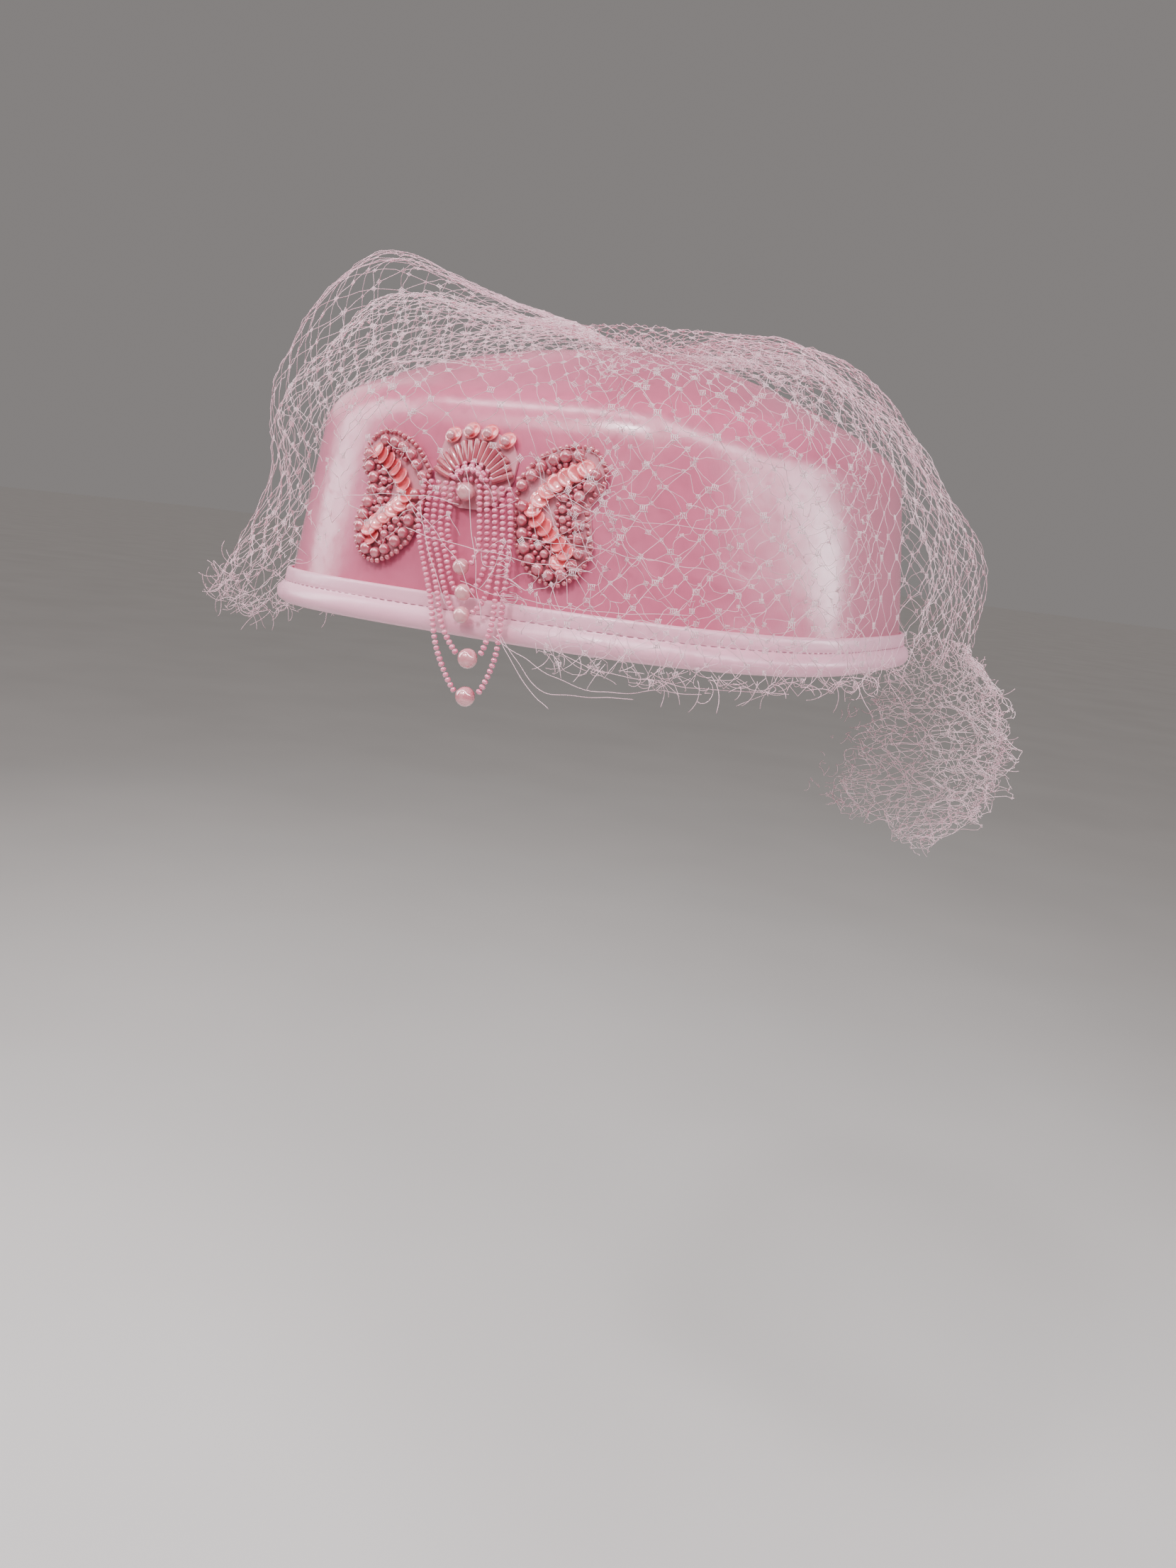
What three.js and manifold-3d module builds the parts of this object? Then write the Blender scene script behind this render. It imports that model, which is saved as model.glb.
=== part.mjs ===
// Pillbox hat: satin crown, folded rim band, bead ornament and a gathered net veil.
// Millimetres, +Z up. The origin is the centre of the head opening in the plane of the rim.
// -Y is the front of the hat and +X is the wearer's left.

import * as THREE from 'three';
import { mergeVertices } from 'three/addons/utils/BufferGeometryUtils.js';
import Module from 'manifold-3d';

const wasm = await Module();
wasm.setup();

// Crown
const crownHalfWidth = 85.5;
const crownHalfDepth = 87.8;
const crownHeight = 82.2;
const planSquareness = 3.2;
const wallTaperDegrees = 7.6;
const shoulderRadius = 15.2;
const shoulderEndDegrees = 61;
const domeRise = 18.0;
const crownWall = 1.8;
const rimEdgeHeight = 2.4;
const planSteps = 44;

// Band
const bandHeight = 9.9;
const bandRoll = 2.9;
const bandCloth = 1.0;
const bandInsideHeight = 7.8;

// Fit between neighbouring pieces
const restGap = 0.3;

// Bead ornament
const backingThickness = 1.2;
const ornamentMiddle = -0.2;
const wingPearlDiameter = 2.4;
const sequinDiameter = 4.4;
const sequinThickness = 0.8;
const bugleLength = 5.6;
const bugleDiameter = 1.9;
const heartPearlDiameter = 4.7;
const wingReach = 36.0;
const wingTopHeight = 49.2;
const heartWidth = 24.2;
const heartHeight = 20.2;

// Bead loops
const beadStringDiameter = 1.6;
const beadStringSides = 8;
const stepsPerDiameter = 2.9;
const loopTopHeight = 37;
const loopWaistHeight = 26;
const pearlForward = 0.4;

// Veil
const netThickness = 1.0;
const netColumns = 44;
const netRows = 6;
const netHoleShare = 0.72;
const gatherRadius = 20;
const gatherHeight = crownHeight + restGap + netThickness;
const veilShoulderHeight = 62;
const veilSideHeight = 32;
const veilFullness = 25;
const veilHemRise = 20;

// Veil tail, hanging from the points of the veil's hem
const tailTopHeight = veilHemRise * 0.45 - restGap * 1.5;
const tailLength = 66.5;
const tailColumns = 8;
const tailRows = 6;
const tailPleats = 3;
const tailPleatDepth = 3.0;

// Folded rim band: out from the crown wall, height
const bandSection = [
  { out: restGap, height: bandHeight - bandCloth / 2 },
  { out: bandRoll * 0.28, height: bandHeight },
  { out: bandRoll * 0.52, height: bandHeight * 0.96 },
  { out: bandRoll * 0.58, height: bandHeight * 0.67 },
  { out: bandRoll * 0.52, height: bandHeight * 0.6 },
  { out: bandRoll * 0.86, height: bandHeight * 0.5 },
  { out: bandRoll, height: bandHeight * 0.32 },
  { out: bandRoll * 0.83, height: bandHeight * 0.12 },
  { out: bandRoll * 0.35, height: bandHeight * 0.01 },
  { out: -crownWall / 2, height: 0 },
  { out: -crownWall - restGap - bandCloth * 0.4, height: rimEdgeHeight * 0.25 },
  { out: -crownWall - restGap - bandCloth, height: rimEdgeHeight * 0.8 },
  { out: -crownWall - restGap - bandCloth, height: bandInsideHeight - bandCloth * 0.4 },
  { out: -crownWall - restGap, height: bandInsideHeight },
  { out: -crownWall - restGap, height: rimEdgeHeight - restGap },
  { out: restGap, height: rimEdgeHeight - restGap },
];

// Wing edge, starting at the heart and going over the top: across from the ornament's middle as a
// share of wingReach, height as a share of wingTopHeight
const wingEdge = [
  { across: 0.35, height: 0.815 },
  { across: 0.46, height: 0.909 },
  { across: 0.578, height: 0.967 },
  { across: 0.722, height: 1.0 },
  { across: 0.878, height: 0.994 },
  { across: 0.994, height: 0.907 },
  { across: 0.994, height: 0.8 },
  { across: 0.917, height: 0.717 },
  { across: 0.944, height: 0.618 },
  { across: 0.989, height: 0.508 },
  { across: 0.928, height: 0.37 },
  { across: 0.778, height: 0.305 },
  { across: 0.611, height: 0.329 },
  { across: 0.456, height: 0.427 },
  { across: 0.389, height: 0.537 },
  { across: 0.361, height: 0.679 },
].map(onWing);

// Sequins laid in a V on each wing, as shares like the wing edge
const wingSequins = [
  { across: 0.844, height: 0.907 },
  { across: 0.75, height: 0.85 },
  { across: 0.639, height: 0.785 },
  { across: 0.572, height: 0.7 },
  { across: 0.628, height: 0.598 },
  { across: 0.722, height: 0.512 },
].map(onWing);

// Centre backing: across from the ornament's middle as a share of heartWidth, height from the
// top of the loops as a share of heartHeight
const heartEdge = [
  { across: -0.496, height: 0.317 },
  { across: -0.438, height: 0.564 },
  { across: -0.207, height: 0.703 },
  { across: 0.083, height: 0.703 },
  { across: 0.372, height: 0.604 },
  { across: 0.496, height: 0.376 },
  { across: 0.479, height: 0.1 },
  { across: 0.33, height: -0.198 },
  { across: 0.1, height: -0.297 },
  { across: -0.124, height: -0.297 },
  { across: -0.355, height: -0.198 },
  { across: -0.504, height: 0.07 },
].map(onHeart);

// Sequins on the top edge of the centre, as shares like its backing
const heartSequins = [
  { across: -0.314, height: 0.535 },
  { across: -0.1, height: 0.594 },
  { across: 0.124, height: 0.584 },
  { across: 0.339, height: 0.505 },
].map(onHeart);

// Fan of bugle beads: radius from the heart's centre and the sweep in degrees
const bugleFan = { count: 7, radius: heartHeight * 0.505, sweepDegrees: 118 };

// Loops, outermost first: where each strand lies at the top, at waist height, at its high and
// low side points, and the pearl at the bottom
const loopRows = [
  { topLeft: -13.2, topRight: 12.0, waistLeft: -12.2, waistRight: 14.9, high: 10, highLeft: -4.8, highRight: 16.6,
    low: -4, lowLeft: 0.3, lowRight: 16.8, pearlAcross: 10.2, pearlHeight: -13.7, pearl: 5.0 },
  { topLeft: -11.0, topRight: 9.8, waistLeft: -9.9, waistRight: 12.7, high: 12, highLeft: -3.3, highRight: 14.2,
    low: 2.5, lowLeft: 0.6, lowRight: 14.4, pearlAcross: 9.6, pearlHeight: -4.4, pearl: 5.0 },
  { topLeft: -8.8, topRight: 7.6, waistLeft: -7.7, waistRight: 10.5, high: 17, highLeft: -3.4, highRight: 11.7,
    low: 10, lowLeft: 0.3, lowRight: 11.1, pearlAcross: 5.9, pearlHeight: 5.8, pearl: 4.2 },
  { topLeft: -6.6, topRight: 5.4, waistLeft: -5.5, waistRight: 8.3, high: 19, highLeft: -2.0, highRight: 9.4,
    low: 14.8, lowLeft: 0.0, lowRight: 8.9, pearlAcross: 5.1, pearlHeight: 11.2, pearl: 4.2 },
  { topLeft: -4.6, topRight: 3.3, waistLeft: -3.3, waistRight: 6.1, high: 23, highLeft: -1.9, highRight: 6.7,
    low: 20, lowLeft: 0.1, lowRight: 6.1, pearlAcross: 3.0, pearlHeight: 17.2, pearl: 4.2 },
];

// How far the loops stand off the crown wall: height, lift
const loopLift = [
  { height: -20, lift: 6.2 },
  { height: 6, lift: 5.4 },
  { height: 20, lift: 4.6 },
  { height: 30, lift: 3.9 },
  { height: 40, lift: 3.2 },
];

// Veil sections round the hat, a row per direction (degrees from +X towards +Y): the crest as
// shares of the crown's outline and height, then how far the net stands off the rim outline at
// the shoulder, the side and the hem as shares of veilFullness, and the height of the hem as a
// share of veilHemRise.
const veilSections = [
  { turn: 0, crestShare: 0.66, crest: 1.046, shoulder: -0.08, side: 0.56, hem: 0.64, hemHeight: 0.2 },
  { turn: 26, crestShare: 0.66, crest: 1.07, shoulder: -0.08, side: 0.8, hem: 0.84, hemHeight: 0.45 },
  { turn: 50, crestShare: 0.66, crest: 1.07, shoulder: -0.08, side: 0.72, hem: 0.72, hemHeight: 0.45 },
  { turn: 90, crestShare: 0.66, crest: 1.058, shoulder: 0, side: 0.56, hem: 0.56, hemHeight: 0.3 },
  { turn: 135, crestShare: 0.68, crest: 1.13, shoulder: 0.16, side: 0.56, hem: 0.64, hemHeight: 0.2 },
  { turn: 175, crestShare: 0.8, crest: 1.216, shoulder: 0.36, side: 0.56, hem: 0.88, hemHeight: -0.2 },
  { turn: 205, crestShare: 0.92, crest: 1.24, shoulder: 0.4, side: 0.6, hem: 1.0, hemHeight: -0.4 },
  { turn: 228, crestShare: 0.82, crest: 1.156, shoulder: 0.28, side: 0.44, hem: 0.76, hemHeight: 0.2 },
  { turn: 246, crestShare: 0.7, crest: 1.022, shoulder: 0.08, side: 0.24, hem: 0.28, hemHeight: 0.75 },
  { turn: 262, crestShare: 0.66, crest: 0.973, shoulder: 0.04, side: 0.22, hem: 0.24, hemHeight: 1.05 },
  { turn: 276, crestShare: 0.66, crest: 0.961, shoulder: 0.04, side: 0.22, hem: 0.26, hemHeight: 1.0 },
  { turn: 292, crestShare: 0.66, crest: 0.961, shoulder: 0, side: 0.2, hem: 0.34, hemHeight: -0.15 },
  { turn: 320, crestShare: 0.66, crest: 0.985, shoulder: -0.04, side: 0.2, hem: 0.36, hemHeight: -0.15 },
  { turn: 345, crestShare: 0.66, crest: 1.022, shoulder: -0.04, side: 0.4, hem: 0.52, hemHeight: 0 },
  { turn: 360, crestShare: 0.66, crest: 1.046, shoulder: -0.08, side: 0.56, hem: 0.64, hemHeight: 0.2 },
];

// Tail sections from the gathered top to the ragged bottom: drop as a share of tailLength, then
// how far the two edges swing round the hat (degrees) and stand off the rim outline, as shares
// of veilFullness
const tailSections = [
  { drop: 0, startTurn: 16, endTurn: 50, startOff: 0.844, endOff: 0.672 },
  { drop: 0.22, startTurn: 15, endTurn: 52, startOff: 1.32, endOff: 0.56 },
  { drop: 0.49, startTurn: 16, endTurn: 54, startOff: 1.48, endOff: 0.48 },
  { drop: 0.7, startTurn: 18, endTurn: 55, startOff: 1.36, endOff: 0.36 },
  { drop: 1, startTurn: 24, endTurn: 56, startOff: 0.72, endOff: 0.16 },
];

const taper = THREE.MathUtils.degToRad(wallTaperDegrees);
const meanHalf = (crownHalfWidth + crownHalfDepth) / 2;
const wallTop = crownHeight - domeRise - shoulderRadius;

function satinMaterial() {
  return new THREE.MeshStandardMaterial({ name: 'pink_satin', color: 0xd9a6ba, roughness: 0.34, metalness: 0.0 });
}

function bandMaterial() {
  return new THREE.MeshStandardMaterial({ name: 'band_satin', color: 0xdcb0c2, roughness: 0.42, metalness: 0.0 });
}

function beadworkMaterial() {
  return new THREE.MeshStandardMaterial({ name: 'pearl_beads', color: 0xdf9aa4, roughness: 0.22, metalness: 0.0 });
}

function beadStringMaterial() {
  return new THREE.MeshStandardMaterial({ name: 'seed_beads', color: 0xe39aa8, roughness: 0.25, metalness: 0.0 });
}

function netMaterial() {
  return new THREE.MeshStandardMaterial({ name: 'veil_net', color: 0xe2bfc6, roughness: 0.6, metalness: 0.0 });
}

// Value of one column of a table at a position along its key column
function readTable(table, key, column, at) {
  const last = table.length - 1;
  if (at <= table[0][key]) return table[0][column];
  for (let i = 0; i < last; i += 1) {
    const here = table[i];
    const next = table[i + 1];
    if (at <= next[key]) {
      const share = (at - here[key]) / (next[key] - here[key]);
      const eased = share * share * (3 - 2 * share);
      return here[column] + (next[column] - here[column]) * eased;
    }
  }
  return table[last][column];
}

// Rounded-square outline of the crown at its widest
function planPoint(angle) {
  const power = 2 / planSquareness;
  const c = Math.cos(angle);
  const s = Math.sin(angle);
  return {
    x: crownHalfWidth * Math.sign(c) * Math.abs(c) ** power,
    y: crownHalfDepth * Math.sign(s) * Math.abs(s) ** power,
  };
}

// Distance from the axis to the widest outline in a given direction
function planReach(turn) {
  const c = Math.abs(Math.cos(turn)) / crownHalfWidth;
  const s = Math.abs(Math.sin(turn)) / crownHalfDepth;
  return 1 / (c ** planSquareness + s ** planSquareness) ** (1 / planSquareness);
}

// How far the outside of the crown draws in from its widest outline at a height
function wallInset(height) {
  const arcBottom = wallTop + shoulderRadius * Math.sin(taper);
  if (height <= arcBottom) return Math.max(height, 0) * Math.tan(taper);
  const rise = Math.min(Math.max((height - wallTop) / shoulderRadius, -1), 1);
  return shoulderCentre() - shoulderRadius * Math.sqrt(1 - rise * rise);
}

function shoulderCentre() {
  return (wallTop * Math.sin(taper) + shoulderRadius) / Math.cos(taper);
}

// Crown profile from the rim over the shoulder, which runs smoothly into the domed top: inset, height
function crownProfile(thickness, shoulderSteps, domeSteps) {
  const rows = [{ inset: rimEdgeHeight * Math.tan(taper) + thickness, height: rimEdgeHeight }];
  const radius = shoulderRadius - thickness;
  const end = THREE.MathUtils.degToRad(shoulderEndDegrees);
  for (let i = 0; i <= shoulderSteps; i += 1) {
    const turn = taper + ((end - taper) * i) / shoulderSteps;
    rows.push({
      inset: shoulderCentre() - radius * Math.cos(turn),
      height: wallTop + radius * Math.sin(turn),
    });
  }
  const edge = rows.at(-1);
  for (let i = 1; i < domeSteps; i += 1) {
    const share = 1 - i / domeSteps;
    const rise = (crownHeight - thickness - edge.height) * (1 - share * share);
    rows.push({ inset: meanHalf - (meanHalf - edge.inset) * share, height: edge.height + rise });
  }
  return rows;
}

function ringAt(inset, height) {
  const scale = (meanHalf - inset) / meanHalf;
  const ring = [];
  for (let i = 0; i < planSteps; i += 1) {
    const p = planPoint((2 * Math.PI * i) / planSteps);
    ring.push(new THREE.Vector3(p.x * scale, p.y * scale, height));
  }
  return ring;
}

// Closed mesh from points and triangles, turned to face outwards
function solidGeometry(points, triangles) {
  let volume = 0;
  for (const [a, b, c] of triangles) {
    volume += points[a].dot(points[b].clone().cross(points[c])) / 6;
  }
  const index = [];
  for (const [a, b, c] of triangles) {
    if (volume > 0) index.push(a, b, c);
    else index.push(a, c, b);
  }
  const geometry = new THREE.BufferGeometry();
  const flat = points.flatMap((p) => [p.x, p.y, p.z]);
  geometry.setAttribute('position', new THREE.Float32BufferAttribute(flat, 3));
  geometry.setIndex(index);
  return geometry;
}

// Sheet with thickness: an outer and an inner copy joined along every open edge
function shellGeometry(outer, inner, triangles) {
  const offset = outer.length;
  const edges = new Map();
  const all = [];
  for (const [a, b, c] of triangles) {
    all.push([a, b, c]);
    all.push([a + offset, c + offset, b + offset]);
    for (const [p, q] of [[a, b], [b, c], [c, a]]) {
      const back = `${q}_${p}`;
      if (edges.has(back)) edges.delete(back);
      else edges.set(`${p}_${q}`, [p, q]);
    }
  }
  for (const [p, q] of edges.values()) {
    all.push([q, p, p + offset]);
    all.push([q, p + offset, q + offset]);
  }
  return solidGeometry([...outer, ...inner], all);
}

function toManifold(geometry) {
  const bare = geometry.clone();
  bare.deleteAttribute('normal');
  bare.deleteAttribute('uv');
  const merged = mergeVertices(bare, 1e-5);
  const mesh = new wasm.Mesh({
    numProp: 3,
    vertProperties: new Float32Array(merged.attributes.position.array),
    triVerts: new Uint32Array(merged.index.array),
  });
  return new wasm.Manifold(mesh);
}

function fromManifold(solid) {
  const mesh = solid.getMesh();
  const geometry = new THREE.BufferGeometry();
  geometry.setAttribute('position', new THREE.BufferAttribute(new Float32Array(mesh.vertProperties), 3));
  geometry.setIndex(new THREE.BufferAttribute(new Uint32Array(mesh.triVerts), 1));
  return geometry;
}

function fuse(geometries) {
  let solid = toManifold(geometries[0]);
  for (let i = 1; i < geometries.length; i += 1) {
    solid = solid.add(toManifold(geometries[i]));
  }
  return fromManifold(solid);
}

function namedMesh(name, geometry, material) {
  const mesh = new THREE.Mesh(geometry, material);
  mesh.name = name;
  return mesh;
}

// Crown shell
function crownSurface(thickness, apexHeight) {
  const rows = crownProfile(thickness, 4, 4);
  const points = [];
  for (const row of rows) points.push(...ringAt(row.inset, row.height));
  points.push(new THREE.Vector3(0, 0, apexHeight));
  return { points, rows: rows.length };
}

function makeCrown() {
  const outside = crownSurface(0, crownHeight);
  const inside = crownSurface(crownWall, crownHeight - crownWall);
  const triangles = [];
  for (let r = 0; r < outside.rows - 1; r += 1) {
    for (let i = 0; i < planSteps; i += 1) {
      const j = (i + 1) % planSteps;
      const low = r * planSteps;
      const high = low + planSteps;
      triangles.push([low + i, low + j, high + j]);
      triangles.push([low + i, high + j, high + i]);
    }
  }
  const lastRing = (outside.rows - 1) * planSteps;
  for (let i = 0; i < planSteps; i += 1) {
    triangles.push([lastRing + i, lastRing + ((i + 1) % planSteps), outside.points.length - 1]);
  }
  return namedMesh('crown', shellGeometry(outside.points, inside.points, triangles), satinMaterial());
}

// Band folded over the rim
function makeBand() {
  const points = [];
  const triangles = [];
  const sides = bandSection.length;
  for (const row of bandSection) {
    const inset = Math.max(row.height, 0) * Math.tan(taper) - row.out;
    points.push(...ringAt(inset, row.height));
  }
  for (let r = 0; r < sides; r += 1) {
    const low = r * planSteps;
    const high = ((r + 1) % sides) * planSteps;
    for (let i = 0; i < planSteps; i += 1) {
      const j = (i + 1) % planSteps;
      triangles.push([low + i, low + j, high + j]);
      triangles.push([low + i, high + j, high + i]);
    }
  }
  return namedMesh('band', solidGeometry(points, triangles), bandMaterial());
}

// Point on the front wall, lifted off it by a distance
function frontWall(x, height, lift) {
  const scale = (meanHalf - wallInset(height)) / meanHalf;
  const across = Math.abs(x / (crownHalfWidth * scale)) ** planSquareness;
  const y = crownHalfDepth * scale * (1 - across) ** (1 / planSquareness);
  return new THREE.Vector3(x, -(y + lift), height);
}

// Places on the ornament from its tables of shares
function onWing(row) {
  return { across: row.across * wingReach, height: row.height * wingTopHeight };
}

function onHeart(row) {
  return { across: row.across * heartWidth, height: loopTopHeight + row.height * heartHeight };
}

// Backing cut to an edge table and laid on the front wall
function backing(edge, side) {
  const middle = { across: 0, height: 0 };
  for (const row of edge) {
    middle.across += row.across / edge.length;
    middle.height += row.height / edge.length;
  }
  const spots = [middle];
  for (const share of [0.5, 1]) {
    for (const row of edge) {
      spots.push({
        across: middle.across + (row.across - middle.across) * share,
        height: middle.height + (row.height - middle.height) * share,
      });
    }
  }
  const place = (spot, lift) => frontWall(ornamentMiddle + side * spot.across, spot.height, lift);
  const outer = spots.map((spot) => place(spot, restGap + backingThickness));
  const inner = spots.map((spot) => place(spot, restGap));
  const triangles = [];
  const count = edge.length;
  for (let i = 0; i < count; i += 1) {
    const j = (i + 1) % count;
    triangles.push([0, 1 + i, 1 + j]);
    triangles.push([1 + i, 1 + count + i, 1 + count + j]);
    triangles.push([1 + i, 1 + count + j, 1 + j]);
  }
  return shellGeometry(outer, inner, triangles);
}

// Round bead or button facing the front: radius share and depth share per ring
const beadRings = [
  { radius: 1.0, depth: 0.0 },
  { radius: 0.74, depth: -0.68 },
];

const ballRings = [
  { radius: 0.62, depth: 0.78 },
  { radius: 1.0, depth: 0.0 },
  { radius: 0.74, depth: -0.68 },
];

function turnedBead(centre, radius, rings, sides, frontShare, backShare) {
  const points = [];
  const triangles = [];
  for (const row of rings) {
    for (let i = 0; i < sides; i += 1) {
      const turn = (2 * Math.PI * i) / sides;
      points.push(new THREE.Vector3(
        centre.x + radius * row.radius * Math.cos(turn),
        centre.y + radius * row.depth,
        centre.z + radius * row.radius * Math.sin(turn),
      ));
    }
  }
  const back = points.push(new THREE.Vector3(centre.x, centre.y + radius * backShare, centre.z)) - 1;
  const front = points.push(new THREE.Vector3(centre.x, centre.y - radius * frontShare, centre.z)) - 1;
  for (let i = 0; i < sides; i += 1) {
    const j = (i + 1) % sides;
    triangles.push([back, i, j]);
    for (let r = 0; r < rings.length - 1; r += 1) {
      const low = r * sides;
      triangles.push([low + i, low + sides + i, low + sides + j]);
      triangles.push([low + i, low + sides + j, low + j]);
    }
    const top = (rings.length - 1) * sides;
    triangles.push([top + i, front, top + j]);
  }
  return solidGeometry(points, triangles);
}

// Sequin: a shallow cup
const sequinRings = [
  { radius: 0.96, depth: 0.34 },
  { radius: 1.0, depth: -0.14 },
];

function sequin(centre) {
  return turnedBead(centre, sequinDiameter / 2, sequinRings, 10, 0.02, 0.36);
}

// Points evenly spaced along part of an edge table
function alongEdge(edge, first, last, pitch, inset) {
  const spots = [];
  let middleAcross = 0;
  let middleHeight = 0;
  for (const row of edge) {
    middleAcross += row.across / edge.length;
    middleHeight += row.height / edge.length;
  }
  let carried = 0;
  for (let i = first; i < last; i += 1) {
    const a = edge[i];
    const b = edge[i + 1];
    const length = Math.hypot(b.across - a.across, b.height - a.height);
    while (carried <= length) {
      const share = carried / length;
      const across = a.across + (b.across - a.across) * share;
      const height = a.height + (b.height - a.height) * share;
      const reach = Math.hypot(across - middleAcross, height - middleHeight);
      spots.push({
        across: across + ((middleAcross - across) * inset) / reach,
        height: height + ((middleHeight - height) * inset) / reach,
      });
      carried += pitch;
    }
    carried -= length;
  }
  return spots;
}

// Rows of threaded pearls sewn down round a wing: how far in from the edge
const wingRows = [
  { first: 1, last: 14, inset: 1.6, step: 5.6 },
  { first: 2, last: 13, inset: 5.0, step: 5.2 },
];

function pearlRow(row, side) {
  const spots = alongEdge(wingEdge, row.first, row.last, row.step, row.inset);
  const lift = restGap + backingThickness + wingPearlDiameter * 0.25;
  const points = spots.map((spot) => frontWall(ornamentMiddle + side * spot.across, spot.height, lift));
  return stringOf(new THREE.CatmullRomCurve3(points, false, 'centripetal'), wingPearlDiameter, spots.length - 1);
}

function makeWing(name, side) {
  const parts = [backing(wingEdge, side)];
  for (const row of wingRows) parts.push(pearlRow(row, side));
  for (const spot of wingSequins) {
    const lift = restGap + backingThickness + sequinThickness / 2;
    const centre = frontWall(ornamentMiddle + side * spot.across, spot.height, lift);
    parts.push(sequin(centre));
  }
  return namedMesh(name, fuse(parts), beadworkMaterial());
}

// Short glass tube lying on the backing, pointing away from the heart
function bugle(turn) {
  const radius = bugleDiameter / 2;
  const geometry = new THREE.CylinderGeometry(radius, radius, bugleLength, 8, 1);
  geometry.rotateX(Math.PI / 2);
  geometry.rotateY(Math.PI / 2 - turn);
  const across = bugleFan.radius * Math.cos(turn);
  const height = loopTopHeight - 1 + bugleFan.radius * Math.sin(turn);
  const spot = frontWall(ornamentMiddle + across, height, restGap + backingThickness + radius * 0.35);
  geometry.rotateX(taper * -1);
  geometry.translate(spot.x, spot.y, spot.z);
  return geometry;
}

function makeMedallion() {
  const parts = [backing(heartEdge, 1)];
  const front = restGap + backingThickness;
  for (let i = 0; i < bugleFan.count; i += 1) {
    const share = i / (bugleFan.count - 1) - 0.5;
    const turn = Math.PI / 2 + THREE.MathUtils.degToRad(bugleFan.sweepDegrees * share);
    parts.push(bugle(turn));
  }
  for (const spot of heartSequins) {
    const centre = frontWall(ornamentMiddle + spot.across, spot.height, front + sequinThickness / 2);
    parts.push(sequin(centre));
  }
  const heart = frontWall(ornamentMiddle - 0.2, loopTopHeight - 1.6, front + heartPearlDiameter * 0.25);
  parts.push(turnedBead(heart, heartPearlDiameter / 2, beadRings, 12, 1, 0.6));
  return namedMesh('medallion', fuse(parts), beadworkMaterial());
}

// String of seed beads hanging in a loop with a pearl at the bottom
function loopPath(row) {
  const spot = (across, height, extra) => {
    const lift = readTable(loopLift, 'height', 'lift', height);
    return frontWall(across, height, lift + extra);
  };
  const half = row.pearl / 2;
  return new THREE.CatmullRomCurve3([
    spot(row.topLeft, loopTopHeight, 0),
    spot(row.waistLeft, loopWaistHeight, 0),
    spot(row.highLeft, row.high, 0),
    spot(row.lowLeft, row.low, 0),
    spot(row.pearlAcross - half, row.pearlHeight + 0.2, pearlForward),
    spot(row.pearlAcross, row.pearlHeight, pearlForward),
    spot(row.pearlAcross + half, row.pearlHeight + 0.2, pearlForward),
    spot(row.lowRight, row.low, 0),
    spot(row.highRight, row.high, 0),
    spot(row.waistRight, loopWaistHeight, 0),
    spot(row.topRight, loopTopHeight, 0),
  ], false, 'centripetal');
}

function stringOf(path, diameter, steps) {
  const radius = diameter / 2;
  const section = new THREE.Shape();
  for (let i = 0; i < beadStringSides; i += 1) {
    const turn = (2 * Math.PI * i) / beadStringSides;
    if (i === 0) section.moveTo(radius * Math.cos(turn), radius * Math.sin(turn));
    else section.lineTo(radius * Math.cos(turn), radius * Math.sin(turn));
  }
  section.closePath();
  return new THREE.ExtrudeGeometry(section, { steps, extrudePath: path, curveSegments: 1 });
}

function makeLoop(row, number) {
  const path = loopPath(row);
  const lift = readTable(loopLift, 'height', 'lift', row.pearlHeight) + pearlForward;
  const centre = frontWall(row.pearlAcross, row.pearlHeight, lift);
  const pearl = turnedBead(centre, row.pearl / 2, ballRings, 12, 1, 1);
  const steps = Math.round(path.getLength() / (beadStringDiameter * stepsPerDiameter));
  const beads = stringOf(path, beadStringDiameter, steps);
  return namedMesh(`bead_loop_${number}`, fuse([beads, pearl]), beadStringMaterial());
}

// Diamond lattice over a surface given by a point function. Holes are shrunk towards each
// diamond's centre, the top edge is filled and the other free edges end in points.
function lattice(columns, rows, wraps, pointAt) {
  const outer = [];
  const inner = [];
  const triangles = [];
  const known = new Map();
  const add = (u, v) => {
    const turnOf = wraps ? ((u % columns) + columns) % columns : u;
    const key = `${turnOf.toFixed(4)}_${v.toFixed(4)}`;
    if (!known.has(key)) {
      known.set(key, outer.length);
      outer.push(pointAt(turnOf / columns, v / rows, 0));
      inner.push(pointAt(turnOf / columns, v / rows, 1));
    }
    return known.get(key);
  };
  const firstColumn = 0;
  const lastColumn = wraps ? columns - 1 : columns;
  for (let j = 0; j <= rows; j += 1) {
    for (let i = firstColumn; i <= lastColumn; i += 1) {
      if ((i + j) % 2 !== 0) continue;
      const corners = [];
      if (j > 0) corners.push([i, j - 1]);
      if (wraps || i < columns) corners.push([i + 1, j]);
      if (j < rows) corners.push([i, j + 1]);
      if (wraps || i > 0) corners.push([i - 1, j]);
      if (corners.length === 4) {
        for (let n = 0; n < 4; n += 1) {
          const a = corners[n];
          const b = corners[(n + 1) % 4];
          const holeA = [i + (a[0] - i) * netHoleShare, j + (a[1] - j) * netHoleShare];
          const holeB = [i + (b[0] - i) * netHoleShare, j + (b[1] - j) * netHoleShare];
          triangles.push([add(...a), add(...b), add(...holeB)]);
          triangles.push([add(...a), add(...holeB), add(...holeA)]);
        }
      } else if (corners.length === 3 && j === 0) {
        triangles.push([add(...corners[0]), add(...corners[1]), add(...corners[2])]);
      }
    }
  }
  return { outer, inner, triangles, add };
}

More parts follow.
